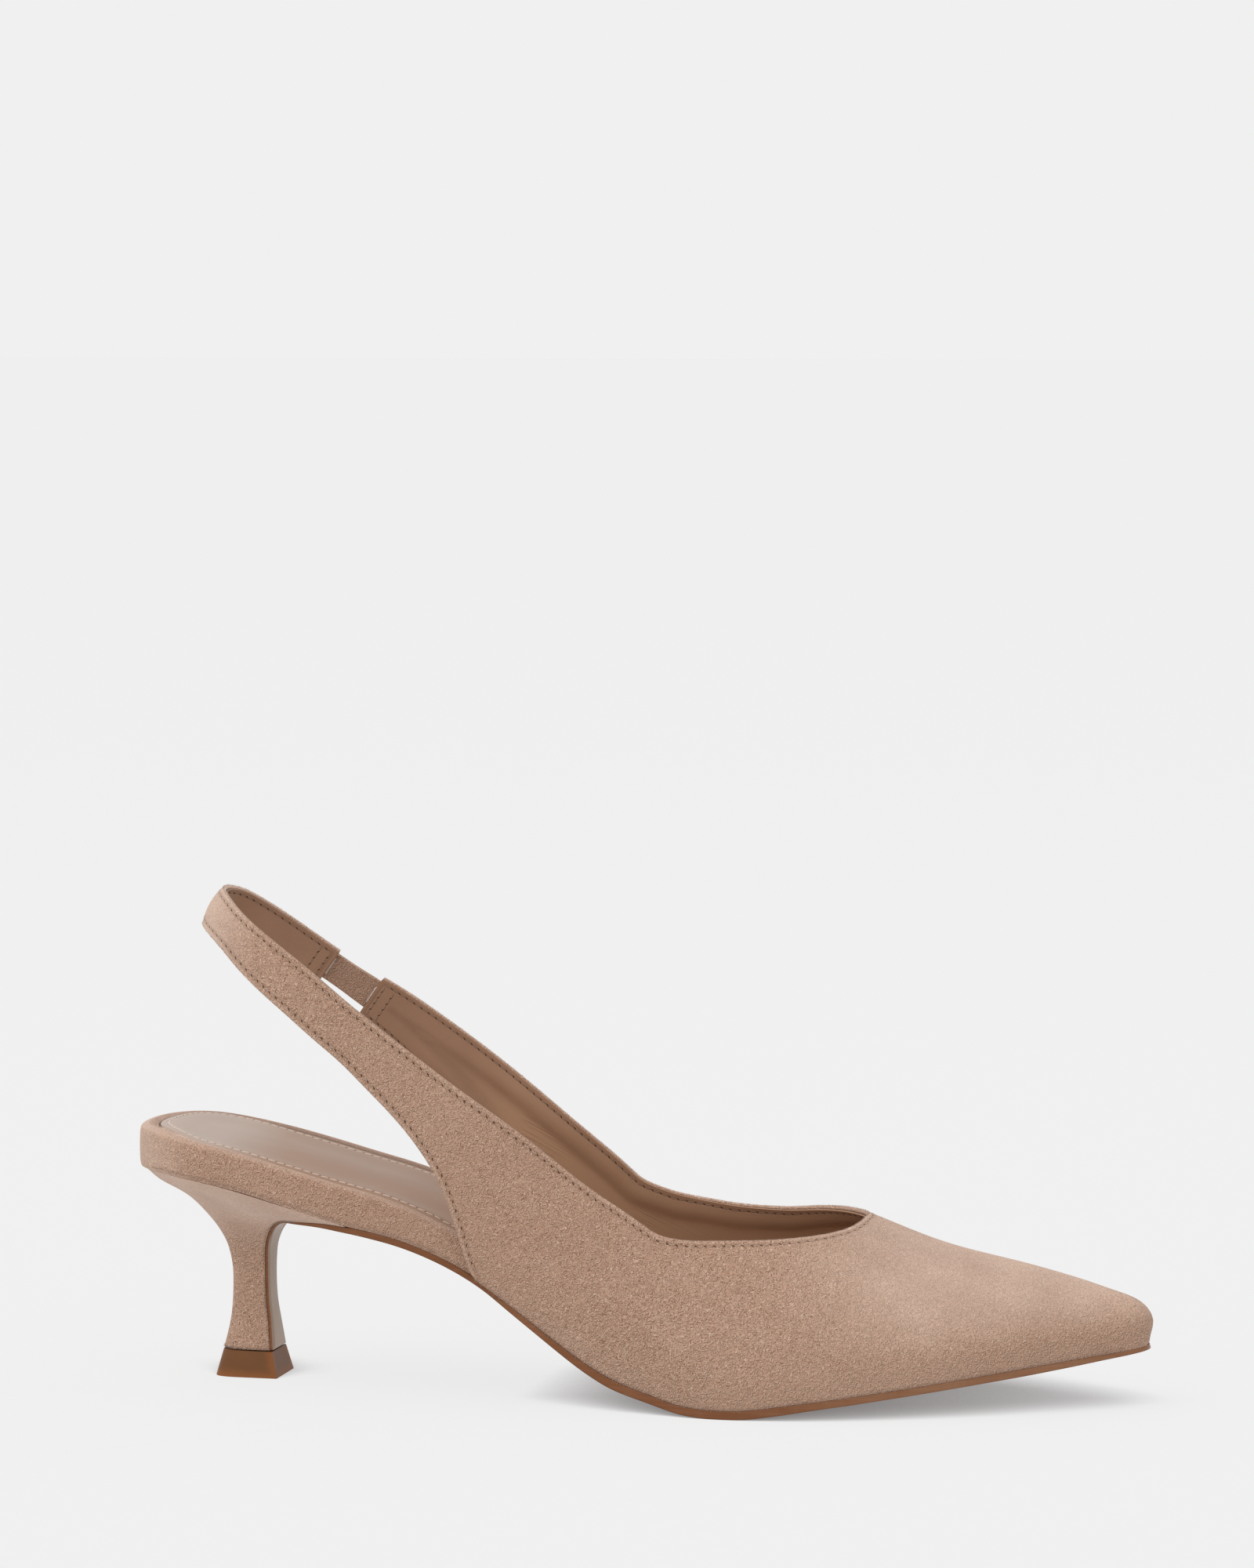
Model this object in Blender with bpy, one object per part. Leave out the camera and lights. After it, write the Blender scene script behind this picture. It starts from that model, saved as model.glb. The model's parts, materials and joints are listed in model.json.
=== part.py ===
"""Heeled slingback shoe for the right foot, built from the sections of its last.

Millimetres in the tables and sizes below, metres in the scene. X runs from the
heel to the toe, Y to the inner (medial) side of the foot, Z up from the floor.
"""
import math

import bmesh
import bpy
import numpy as np
from mathutils import Vector

MM = 0.001

# Driving dimensions
LENGTH = 262.5
BALL_WIDTH = 77.0
INSTEP_HEIGHT = 66.0
SEAT_HEIGHT = 55.0
TOE_SPRING = 14.4
COLLAR_HEIGHT = 126.0

# Thicknesses and clearances
WALL = 1.8
SOLE = 2.2
SHANK = 1.4
BREAST = 0.35
FLAP = 0.85
SOCK = 0.8
ELASTIC = 1.0
GAP = 0.3

# How the pieces are set in from the outline of the last
FOOTBED_INSET = 3.5
FOOTBED_ROUND = 1.7
SOCK_INSET = 6.5
SOCK_SUNK = 0.9
SOLE_INSET = 1.2
TUCK = 1.3
TUCK_RISE = 7.0

# Rounded ends of the outline
TOE_NOSE = 10.5
TOE_SQUARE = 2.3
TOE_BLUNT = 3.3
TOE_END = 0.968
SEAT_NOSE = 31.2
SEAT_SQUARE = 2.35
SEAT_BACK = 1.2

# Throat, wings and sling, as shares of the length
APEX = 72.4
CORNER = {-1: 54.5, 1: 48.6}
CORNER_FOOT = {-1: 58.5, 1: 53.5}
WING_TOP = 25.6
WING_LOW = 22.7
WING_MID = 39.7
LOOP_TOP = 8.7
LOOP_LOW = 6.6
SLING_BOW = 1.0

# Elastic inset: where the two tabs end along the sling, and how much of its width it takes
TAB_REAR = 0.714
TAB_FRONT = 0.883
ELASTIC_FROM = 0.13
ELASTIC_TO = 0.87


class Table:
    """Rows of named columns, read between the rows along a smooth curve with no overshoot."""

    def __init__(self, columns, rows):
        names = columns.split()
        data = np.array(rows, float)
        self.at = data[:, 0]
        self.column = {}
        for name, values in zip(names[1:], data[:, 1:].T):
            self.column[name] = (values, self.slopes(values))

    def slopes(self, values):
        step = np.diff(self.at)
        rise = np.diff(values) / step
        slope = np.zeros(len(values))
        slope[0] = rise[0]
        slope[-1] = rise[-1]
        for i in range(1, len(values) - 1):
            if rise[i - 1] * rise[i] > 0:
                before = 2 * step[i] + step[i - 1]
                after = step[i] + 2 * step[i - 1]
                slope[i] = (before + after) / (before / rise[i - 1] + after / rise[i])
        return slope

    def read(self, name, at):
        values, slope = self.column[name]
        at = min(max(at, self.at[0]), self.at[-1])
        i = min(int(np.searchsorted(self.at, at, side="right")) - 1, len(values) - 2)
        step = self.at[i + 1] - self.at[i]
        t = (at - self.at[i]) / step
        held = (1 + 2 * t) * (1 - t) ** 2 * values[i] + t * t * (3 - 2 * t) * values[i + 1]
        led = t * (1 - t) ** 2 * slope[i] - t * t * (1 - t) * slope[i + 1]
        return held + step * led


# Last: station % of length, breadths and ridge % of ball width, ridge height % of instep height
LAST = Table("station lateral medial ridge_y ridge_z fullness", [
    (-2.0, 36.8, 36.8, 0.0, 192, 2.4),
    (11.5, 37.0, 37.0, 0.0, 190, 2.4),
    (23.0, 37.2, 36.0, 0.0, 187, 2.4),
    (30.5, 36.8, 33.4, 0.0, 181, 2.4),
    (36.3, 37.1, 33.0, 0.0, 168, 2.4),
    (42.0, 40.0, 34.6, 0.8, 144, 2.3),
    (48.5, 44.4, 38.2, 1.5, 119, 2.15),
    (54.5, 47.9, 42.6, 2.0, 100, 2.05),
    (61.0, 49.9, 47.4, 2.6, 89.5, 2.0),
    (66.8, 49.2, 49.9, 3.4, 79.4, 2.0),
    (72.5, 45.6, 48.6, 4.6, 70.0, 1.95),
    (80.0, 36.5, 42.6, 5.8, 59.3, 1.9),
    (88.0, 23.0, 33.4, 6.6, 52.4, 1.9),
    (93.5, 12.4, 24.6, 6.6, 46.9, 1.95),
    (96.0, 8.0, 20.8, 6.4, 43.8, 2.0),
    (100.0, 4.2, 16.6, 6.2, 40.2, 2.0),
])

# Feather line, under the footbed: station % of length, rise % of the seat height over the sole,
# and spring % of the toe spring; level under the ball
FEATHER = Table("station arch spring", [
    (-2.0, 100.0, 0.0),
    (3.8, 99.2, 0.0),
    (7.6, 96.9, 0.0),
    (11.5, 93.3, 0.0),
    (15.3, 88.5, 0.0),
    (19.1, 82.8, 0.0),
    (23.0, 77.6, 0.0),
    (28.6, 71.2, 0.0),
    (32.4, 64.4, 0.0),
    (36.3, 54.7, 0.0),
    (40.0, 43.0, 0.0),
    (44.0, 29.6, 0.0),
    (47.7, 18.1, 0.0),
    (51.5, 8.7, 0.0),
    (54.5, 3.2, 0.0),
    (57.3, 0.0, 0.0),
    (62.4, 0.0, 0.0),
    (66.0, 0.0, 8.0),
    (70.0, 0.0, 22.0),
    (80.0, 0.0, 49.0),
    (100.0, 0.0, 100.0),
])

# Rim of the footbed: station % of length, height above the feather line in mm on either side,
# higher on the inner side at the arch
FOOTBED = Table("station lateral medial", [
    (-2.0, 10.5, 10.5),
    (2.7, 10.5, 10.5),
    (8.6, 9.2, 10.1),
    (15.4, 9.2, 10.6),
    (19.3, 9.5, 11.1),
    (24.2, 9.5, 11.2),
    (28.8, 8.7, 10.6),
    (33.2, 8.0, 9.8),
    (40.0, 8.4, 9.4),
    (44.0, 8.2, 8.6),
    (50.0, 7.0, 7.0),
    (56.0, 5.2, 5.2),
    (62.0, 4.6, 4.6),
    (100.0, 4.2, 4.2),
])

# Topline from the loop to the throat corners: station % of length, heights % of collar height
TOPLINE = Table("station lateral medial", [
    (8.7, 100.0, 100.0),
    (9.5, 99.2, 99.2),
    (12.0, 95.5, 95.4),
    (16.6, 89.3, 88.0),
    (20.6, 83.6, 82.2),
    (23.4, 79.0, 79.0),
    (27.3, 73.1, 74.0),
    (34.7, 62.3, 63.2),
    (41.8, 52.5, 51.4),
    (46.3, 45.7, 43.7),
    (48.6, 42.5, 39.4),
    (51.0, 39.5, 36.6),
    (54.5, 34.8, 33.0),
])

# Throat from a corner (0) to the apex (1): how far out from the ridge, as a share of the corner's
THROAT = Table("turn lateral medial", [
    (0.0, 1.0, 1.0),
    (0.08, 0.97, 0.952),
    (0.16, 0.934, 0.888),
    (0.28, 0.875, 0.835),
    (0.40, 0.807, 0.77),
    (0.55, 0.695, 0.613),
    (0.67, 0.58, 0.46),
    (0.80, 0.425, 0.285),
    (0.90, 0.27, 0.155),
    (1.0, 0.0, 0.0),
])

# Lower edge of the sling and back edge of the wings, down to the sole
BACK_EDGE = Table("station height", [
    (6.6, 92.7),
    (8.1, 91.0),
    (9.6, 89.1),
    (12.0, 84.8),
    (14.7, 80.4),
    (17.6, 76.0),
    (20.3, 71.5),
    (23.1, 67.0),
    (25.4, 62.5),
    (27.7, 58.0),
    (29.8, 53.4),
    (31.5, 48.8),
    (32.9, 44.3),
    (34.0, 38.9),
    (35.0, 32.6),
    (36.3, 23.0),
])

# Heel from the seat to the top lift: front (breast) and back points, half width, how far the
# level bows up in its middle, and the share of its depth that the rounded back takes
HEEL = Table("level front_x front_z back_x back_z half bow back", [
    (0.0, 61.5, 42.9, 2.0, 54.7, 24.8, 2.4, 0.476),
    (0.5, 60.5, 42.9, 2.7, 53.7, 24.6, 2.2, 0.49),
    (2.0, 46.5, 42.9, 5.8, 51.4, 21.0, 1.4, 0.62),
    (3.0, 42.3, 42.2, 9.8, 48.8, 15.4, 0.7, 0.70),
    (4.0, 38.4, 40.5, 13.6, 45.8, 9.6, 0.3, 0.76),
    (5.0, 36.0, 38.4, 17.5, 41.8, 6.4, 0.0, 0.80),
    (6.0, 34.6, 35.5, 20.8, 37.6, 5.0, 0.0, 0.80),
    (7.0, 33.95, 32.1, 23.4, 32.8, 4.1, 0.0, 0.80),
    (8.0, 33.85, 26.0, 24.6, 26.0, 3.6, 0.0, 0.80),
    (9.0, 34.05, 19.9, 24.5, 19.9, 3.7, 0.0, 0.80),
    (10.0, 34.8, 14.0, 23.9, 14.0, 4.3, 0.0, 0.80),
    (11.0, 35.6, 7.1, 22.2, 6.95, 5.8, 0.0, 0.80),
])
SEAT_LEVEL = 2.0
SEAT_DROP = 0.5
HEEL_LAST = 11.0

# Top lift: height, back and front, half width
LIFT = Table("height back_x front_x half", [
    (0.0, 20.9, 38.2, 7.9),
    (1.0, 21.15, 37.95, 7.7),
    (6.6, 22.7, 36.6, 6.4),
])
LIFT_LEVELS = (0.0, 0.5, 1.4, 2.4, 3.6, 5.0, 6.6)

# Mesh fineness
RIB_ROWS = 12
STATIONS = 60
HEEL_LEVELS = 24
ROUND_POINTS = 11


def share(station):
    return LENGTH * station / 100.0


def feather(x):
    station = 100.0 * x / LENGTH
    ball = SOLE + GAP
    arch = FEATHER.read("arch", station) * (SEAT_HEIGHT - ball) / 100.0
    return ball + arch + FEATHER.read("spring", station) * TOE_SPRING / 100.0


def footbed_top(x, side):
    name = "lateral" if side < 0 else "medial"
    return feather(x) + FOOTBED.read(name, 100.0 * x / LENGTH)


def last_size(name, x):
    scale = INSTEP_HEIGHT if name == "ridge_z" else BALL_WIDTH
    return LAST.read(name, 100.0 * x / LENGTH) * scale / 100.0


TOE_FROM = LENGTH - TOE_NOSE
SEAT_FROM = SEAT_NOSE + SEAT_BACK - FOOTBED_INSET
WALK_TOE = TOE_FROM + TOE_NOSE * math.pi / 2
WALK_SEAT = SEAT_FROM - SEAT_NOSE * math.pi / 2


def walk_x(q):
    """Station x for a distance q walked along the axis; it slows into both rounded ends."""
    if q > TOE_FROM:
        return TOE_FROM + TOE_NOSE * math.sin((q - TOE_FROM) / TOE_NOSE)
    if q < SEAT_FROM:
        return SEAT_FROM - SEAT_NOSE * math.sin((SEAT_FROM - q) / SEAT_NOSE)
    return q


def narrowing(x, toe_power):
    """Share of the breadth or the height that is left in the rounded ends."""
    if x > TOE_FROM:
        reach, power = (x - TOE_FROM) / TOE_NOSE, toe_power
    elif x < SEAT_FROM:
        reach, power = (SEAT_FROM - x) / SEAT_NOSE, SEAT_SQUARE
    else:
        return 1.0
    return max(0.0, 1.0 - min(1.0, reach) ** power) ** (1.0 / power)


def plan(q, side):
    """Outline of the last seen from above; side -1 is lateral, +1 medial."""
    x = walk_x(q)
    breadth = last_size("lateral" if side < 0 else "medial", x)
    middle = last_size("ridge_y", x)
    return np.array((x, middle + (side * breadth - middle) * narrowing(x, TOE_SQUARE)))


def edge(q, side, inset):
    """The outline moved inwards, square to itself."""
    if q >= WALK_TOE - 1e-9:
        out = np.array((1.0, 0.0))
    elif q <= WALK_SEAT + 1e-9:
        out = np.array((-1.0, 0.0))
    else:
        ahead = plan(min(q + 0.2, WALK_TOE), side) - plan(max(q - 0.2, WALK_SEAT), side)
        out = np.array((-ahead[1], ahead[0])) * side / np.linalg.norm(ahead)
    return plan(q, side) - inset * out


def last_point(q, angle, side):
    """Outer face of the last at an angle from the feather edge (0) up to the ridge (90 degrees)."""
    x = walk_x(q)
    power = 2.0 / LAST.read("fullness", 100.0 * x / LENGTH)
    foot = feather(x)
    rise = (last_size("ridge_z", x) - foot) * narrowing(x, TOE_BLUNT) * math.sin(angle) ** power
    tuck = TUCK * max(0.0, 1.0 - rise / TUCK_RISE) ** 2
    x, y = edge(q, side, tuck)
    middle = last_size("ridge_y", x)
    return np.array((x, middle + (y - middle) * math.cos(angle) ** power, foot + rise))


def height_angle(x, z):
    """Angle on the last's section at station x where it stands at height z."""
    lift = (z - feather(x)) / (last_size("ridge_z", x) - feather(x))
    power = LAST.read("fullness", 100.0 * x / LENGTH) / 2.0
    return math.asin(min(1.0, max(0.0, lift) ** power))


def topline(x, side):
    name = "lateral" if side < 0 else "medial"
    return TOPLINE.read(name, 100.0 * x / LENGTH) * COLLAR_HEIGHT / 100.0


def back_edge(x):
    return BACK_EDGE.read("height", 100.0 * x / LENGTH) * COLLAR_HEIGHT / 100.0


def even_walk(curve, start, end, t):
    """Parameter on a plane curve that lies the share t of its length from the start."""
    steps = np.linspace(start, end, 60)
    points = np.array([curve(s) for s in steps])
    run = np.concatenate(((0.0,), np.cumsum(np.linalg.norm(np.diff(points, axis=0), axis=1))))
    return float(np.interp(t * run[-1], run, steps))


def sling_ends(side, t):
    """Top and lower edge of the sling, t 0 at the back of the loop and 1 at the wing."""
    turn = t * math.pi / 2
    ends = []
    for back, front, height in (
        (share(LOOP_TOP), share(WING_TOP), lambda x: topline(x, side)),
        (share(LOOP_LOW), share(WING_LOW), back_edge),
    ):
        half = abs(last_point(front, height_angle(front, height(front)), side)[1])
        x = back + (front - back) * (1 - math.cos(turn))
        ends.append(np.array((x, side * half * math.sin(turn), height(x))))
    return ends


def rib_ends(side, h):
    """Top and lower end of a rib on the last, as walk and angle: h 1 to 2 is the wing, 2 to 3 runs
    to the throat corner, 3 to 4 to the apex of the throat, 4 to 5 over the toe."""
    corner = share(CORNER[side])
    foot = share(BACK_EDGE.at[-1])
    foot_corner = share(CORNER_FOOT[side])
    if h <= 2:
        t = h - 1
        top = share(WING_TOP) + (share(WING_MID) - share(WING_TOP)) * t
        low = even_walk(lambda x: (x, back_edge(x)), share(WING_LOW), foot, t)
        return (top, height_angle(top, topline(top, side))), (low, height_angle(low, back_edge(low)))
    if h <= 3:
        t = h - 2
        top = share(WING_MID) + (corner - share(WING_MID)) * t
        low = foot + (foot_corner - foot) * t
        return (top, height_angle(top, topline(top, side))), (low, 0.0)
    if h >= 4:
        q = share(APEX) + (WALK_TOE - share(APEX)) * (h - 4)
        return (q, math.pi / 2), (q, 0.0)
    t = h - 3
    turn = t * math.pi / 2
    top = corner + (share(APEX) - corner) * math.sin(turn)
    at_corner = height_angle(corner, topline(corner, side))
    out_corner = math.cos(at_corner) ** (2.0 / LAST.read("fullness", CORNER[side]))
    out = out_corner * THROAT.read("lateral" if side < 0 else "medial", t)
    power = LAST.read("fullness", 100.0 * top / LENGTH) / 2.0
    low = foot_corner + (share(APEX) - foot_corner) * t
    return (top, math.acos(min(1.0, max(0.0, out) ** power))), (low, 0.0)


def band(side, h, v):
    """Outer face of the upper: h from the back of the loop (0) to the toe tip (5), v from the
    topline or the ridge (0) to the lower edge (1)."""
    if h < 1:
        top, low = sling_ends(side, h)
        turn = h * math.pi / 2
        bow = SLING_BOW * (1 - h) * 4 * v * (1 - v)
        away = np.array((-math.cos(turn) * 0.85, side * math.sin(turn), math.cos(turn) * 0.5))
        return top + (low - top) * v + bow * away
    (q_top, a_top), (q_low, a_low) = rib_ends(side, h)
    return last_point(q_top + (q_low - q_top) * v, a_top + (a_low - a_top) * v, side)


def make_material(name, colour, roughness):
    material = bpy.data.materials.new(name)
    material.use_nodes = True
    shader = material.node_tree.nodes["Principled BSDF"]
    shader.inputs["Base Color"].default_value = (*colour, 1.0)
    shader.inputs["Roughness"].default_value = roughness
    return material


def finish(name, bm, material):
    mesh = bpy.data.meshes.new(name)
    bm.to_mesh(mesh)
    bm.free()
    mesh.materials.append(material)
    piece = bpy.data.objects.new(name, mesh)
    bpy.context.scene.collection.objects.link(piece)
    return piece


def layered(name, layers, material):
    """One closed solid through layers; each layer is a lateral and a medial row of points."""
    bm = bmesh.new()
    loops = []
    for lateral, medial in layers:
        left = [bm.verts.new(Vector(p) * MM) for p in lateral]
        right = []
        for i, p in enumerate(medial):
            shared = np.linalg.norm(np.subtract(p, lateral[i])) < 1e-6
            right.append(left[i] if shared else bm.verts.new(Vector(p) * MM))
        loops.append((left, right))

    def face(*corners):
        kept = [c for i, c in enumerate(corners) if c not in corners[:i]]
        if len(kept) > 2:
            bm.faces.new(kept)

    for (left, right), (left_up, right_up) in zip(loops, loops[1:]):
        for row, row_up in ((left, left_up), (right, right_up)):
            for i in range(len(row) - 1):
                face(row[i], row[i + 1], row_up[i + 1], row_up[i])
        for end in (0, -1):
            if left[end] is not right[end]:
                face(left[end], right[end], right_up[end], left_up[end])
    for left, right in (loops[0], loops[-1]):
        for i in range(len(left) - 1):
            face(left[i], left[i + 1], right[i + 1], right[i])
    bmesh.ops.recalc_face_normals(bm, faces=bm.faces)
    return finish(name, bm, material)


def sheet(name, grid, thickness, material):
    """A wall of even thickness inside a grid of points on its outer face, welded where they meet."""
    bm = bmesh.new()
    verts = [[bm.verts.new(Vector(p) * MM) for p in row] for row in grid]
    for row, ahead in zip(verts, verts[1:]):
        for j in range(len(row) - 1):
            bm.faces.new((row[j], row[j + 1], ahead[j + 1], ahead[j]))
    bmesh.ops.remove_doubles(bm, verts=bm.verts, dist=0.01 * MM)
    piece = finish(name, bm, material)
    wall = piece.modifiers.new("wall", "SOLIDIFY")
    wall.thickness = thickness * MM
    wall.offset = -1.0
    wall.use_even_offset = True
    wall.use_quality_normals = True
    return piece


def outline_rows(walks, inset, height):
    rows = []
    for side in (-1, 1):
        row = []
        for q in walks:
            x, y = edge(q, side, inset)
            row.append((x, y, height(x, side)))
        rows.append(row)
    return rows


def spread(start, end, count):
    return [start + (end - start) * i / count for i in range(count + 1)]


def build_footbed(material):
    """Wrapped board with a rounded rim; inside the rim its top is sunk for the sock."""
    walks = spread(WALK_SEAT, WALK_TOE, STATIONS)
    recess = SOCK_INSET - GAP - FOOTBED_INSET
    layers = []
    for inset, height in (
        (0.5, lambda x, side: feather(x)),
        (0.0, lambda x, side: feather(x) + 0.6),
        (0.0, lambda x, side: footbed_top(x, side) - FOOTBED_ROUND),
        (0.3 * FOOTBED_ROUND, lambda x, side: footbed_top(x, side) - 0.3 * FOOTBED_ROUND),
        (FOOTBED_ROUND, footbed_top),
        (recess - 0.2, footbed_top),
        (recess, lambda x, side: footbed_top(x, side) - SOCK_SUNK),
    ):
        layers.append(outline_rows(walks, FOOTBED_INSET + inset, height))
    return layered("footbed", layers, material)


def build_insole(material):
    walks = spread(WALK_SEAT, WALK_TOE, STATIONS)
    layers = []
    for inset, share_up in ((0.0, 0.0), (0.0, 0.6), (0.5, 1.0)):
        lift = GAP - SOCK_SUNK + share_up * SOCK
        layers.append(outline_rows(walks, SOCK_INSET + inset, lambda x, side: footbed_top(x, side) + lift))
    return layered("insole", layers, material)


def heel_lift(level, x):
    """Height of a level of the heel; near the seat it follows the footbed's underside."""
    back, back_z = HEEL.read("back_x", level), HEEL.read("back_z", level)
    front, front_z = HEEL.read("front_x", level), HEEL.read("front_z", level)
    t = (x - back) / (front - back)
    free = back_z + (front_z - back_z) * t + HEEL.read("bow", level) * 4 * t * (1 - t)
    seat = feather(x) - GAP - SEAT_DROP * level
    return seat + (free - seat) * ease(0.0, SEAT_LEVEL, level)


def heel_front(level):
    x = HEEL.read("front_x", level)
    return np.array((x, heel_lift(level, x)))


def ease(low, high, x):
    t = min(1.0, max(0.0, (x - low) / (high - low)))
    return t * t * (3 - 2 * t)


def build_outsole(material):
    """Sole from the toe tip to the waist, then down the breast of the heel as a flap."""
    path = []
    for q in spread(WALK_TOE, share(24.6), STATIONS):
        forward = ease(share(35.0), share(41.0), walk_x(q))
        inset = FOOTBED_INSET + (SOLE_INSET - FOOTBED_INSET) * forward
        thick = SHANK + (SOLE - SHANK) * ease(share(40.0), share(52.0), walk_x(q))
        ends = [edge(q, side, inset) for side in (-1, 1)]
        path.append((walk_x(q), feather(walk_x(q)), ends, thick))
    for level in spread(0.8, HEEL_LAST, HEEL_LEVELS):
        x, z = heel_front(level)
        half = HEEL.read("half", level)
        thick = SHANK + (BREAST - SHANK) * ease(0.4, 2.2, level) + (FLAP - BREAST) * ease(2.2, 7.0, level)
        path.append((x, z, [np.array((x, -half)), np.array((x, half))], thick))

    layers = []
    for depth in (0.0, 1.0):
        rows = ([], [])
        for i, (x, z, ends, thick) in enumerate(path):
            before = path[max(i - 1, 0)]
            after = path[min(i + 1, len(path) - 1)]
            ahead = np.array((after[0] - before[0], after[1] - before[1]))
            down = np.array((-ahead[1], ahead[0])) / np.linalg.norm(ahead)
            move = down * (GAP + depth * thick)
            for row, (edge_x, edge_y) in zip(rows, ends):
                row.append((edge_x + move[0], edge_y, z + move[1]))
        layers.append(rows)
    return layered("outsole", layers, material)


def d_row(side, back, front, half, share_back, square, lift):
    """Half of a D-shaped level: from the middle of the rounded back to a front corner."""
    reach = (front - back) * share_back
    row = []
    for i in range(ROUND_POINTS + 1):
        turn = math.pi / 2 * i / ROUND_POINTS
        x = back + reach * (1 - math.cos(turn) ** (2 / square))
        row.append((x, side * half * math.sin(turn) ** (2 / square), lift(x)))
    for t in (0.5, 1.0):
        x = back + reach + (front - back - reach) * t
        row.append((x, side * half, lift(x)))
    return row


def build_heel(material):
    layers = []
    for level in spread(0.0, HEEL_LAST, HEEL_LEVELS + 2):
        rows = []
        for side in (-1, 1):
            rows.append(d_row(side, HEEL.read("back_x", level), HEEL.read("front_x", level),
                              HEEL.read("half", level), HEEL.read("back", level), SEAT_SQUARE,
                              lambda x: heel_lift(level, x)))
        layers.append(rows)
    return layered("heel", layers, material)


def build_top_lift(material):
    layers = []
    for z in LIFT_LEVELS:
        back, front = LIFT.read("back_x", z), LIFT.read("front_x", z)
        half = LIFT.read("half", z)
        layers.append([d_row(side, back, front, half, 0.7, 4.5, lambda x: z) for side in (-1, 1)])
    return layered("top_lift", layers, material)


def build_upper(material):
    """Ribs in one run: rear tab, loop, lateral wing and vamp to the toe, then medial back to the
    front tab. The two sides weld along the ridge, and a narrow strip closes the toe tip."""
    toe = [4 + TOE_END * (1 - (1 - t) ** 1.6) for t in spread(0.0, 1.0, 18)]
    ribs = [(1, h) for h in spread(TAB_REAR, 0.0, 10)]
    for start, end, count in ((0, 1, 14), (1, 2, 13), (2, 3, 12), (3, 4, 12)):
        ribs += [(-1, h) for h in spread(start, end, count)[1:]]
    ribs += [(-1, h) for h in toe[1:]]
    ribs += [(1, h) for h in toe[::-1]]
    for start, end, count in ((4, 3, 12), (3, 2, 12), (2, 1, 13), (1, TAB_FRONT, 2)):
        ribs += [(1, h) for h in spread(start, end, count)[1:]]
    grid = [[band(side, h, v) for v in spread(0.0, 1.0, RIB_ROWS)] for side, h in ribs]
    return sheet("upper", grid, WALL, material)


def build_elastic(material):
    """Strip between the two tabs, in the middle of the wall, a gap short of each tab."""
    run = np.linalg.norm(band(1, TAB_FRONT, 0.5) - band(1, TAB_REAR, 0.5))
    trim = (TAB_FRONT - TAB_REAR) * GAP / run
    deep = (WALL - ELASTIC) / 2
    grid = []
    for h in spread(TAB_FRONT - trim, TAB_REAR + trim, 5):
        row = []
        for v in spread(ELASTIC_FROM, ELASTIC_TO, 4):
            along = band(1, h - 0.01, v) - band(1, h + 0.01, v)
            across = band(1, h, v + 0.05) - band(1, h, v - 0.05)
            out = np.cross(along, across)
            row.append(band(1, h, v) - deep * out / np.linalg.norm(out))
        grid.append(row)
    return sheet("elastic", grid, ELASTIC, material)


def stand_on_origin(pieces):
    """Hang the pieces on one empty so that the origin is under the middle of their box."""
    bpy.context.view_layer.update()
    graph = bpy.context.evaluated_depsgraph_get()
    corners = []
    for piece in pieces:
        shape = piece.evaluated_get(graph)
        mesh = shape.to_mesh()
        points = np.empty(3 * len(mesh.vertices))
        mesh.vertices.foreach_get("co", points)
        shape.to_mesh_clear()
        points = points.reshape(-1, 3)
        corners += [points.min(axis=0), points.max(axis=0)]
    low, high = np.min(corners, axis=0), np.max(corners, axis=0)
    stand = bpy.data.objects.new("shoe", None)
    bpy.context.scene.collection.objects.link(stand)
    stand.location = (-(low[0] + high[0]) / 2, -(low[1] + high[1]) / 2, -low[2])
    for piece in pieces:
        piece.parent = stand


def main():
    for old in list(bpy.data.objects):
        bpy.data.objects.remove(old)
    suede = make_material("suede", (0.36, 0.29, 0.23), 0.95)
    pieces = [
        build_top_lift(make_material("lift_rubber", (0.16, 0.09, 0.06), 0.4)),
        build_heel(make_material("heel_suede", (0.36, 0.29, 0.23), 0.95)),
        build_outsole(make_material("sole_leather", (0.25, 0.13, 0.07), 0.5)),
        build_footbed(make_material("footbed_suede", (0.35, 0.28, 0.22), 0.95)),
        build_insole(make_material("sock_leather", (0.40, 0.34, 0.29), 0.6)),
        build_upper(suede),
        build_elastic(make_material("elastic_suede", (0.38, 0.31, 0.25), 0.9)),
    ]
    stand_on_origin(pieces)


main()
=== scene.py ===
"""Looks of a suede slingback pump with a low flared heel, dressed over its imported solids.

Everything is in metres in the frame of the solids; shoemaker's sizes are written times MM.
"""
import json
import math
from contextlib import contextmanager

import bpy
import numpy as np
from mathutils import Matrix, Vector
from mathutils.bvhtree import BVHTree
from mathutils.kdtree import KDTree

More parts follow.
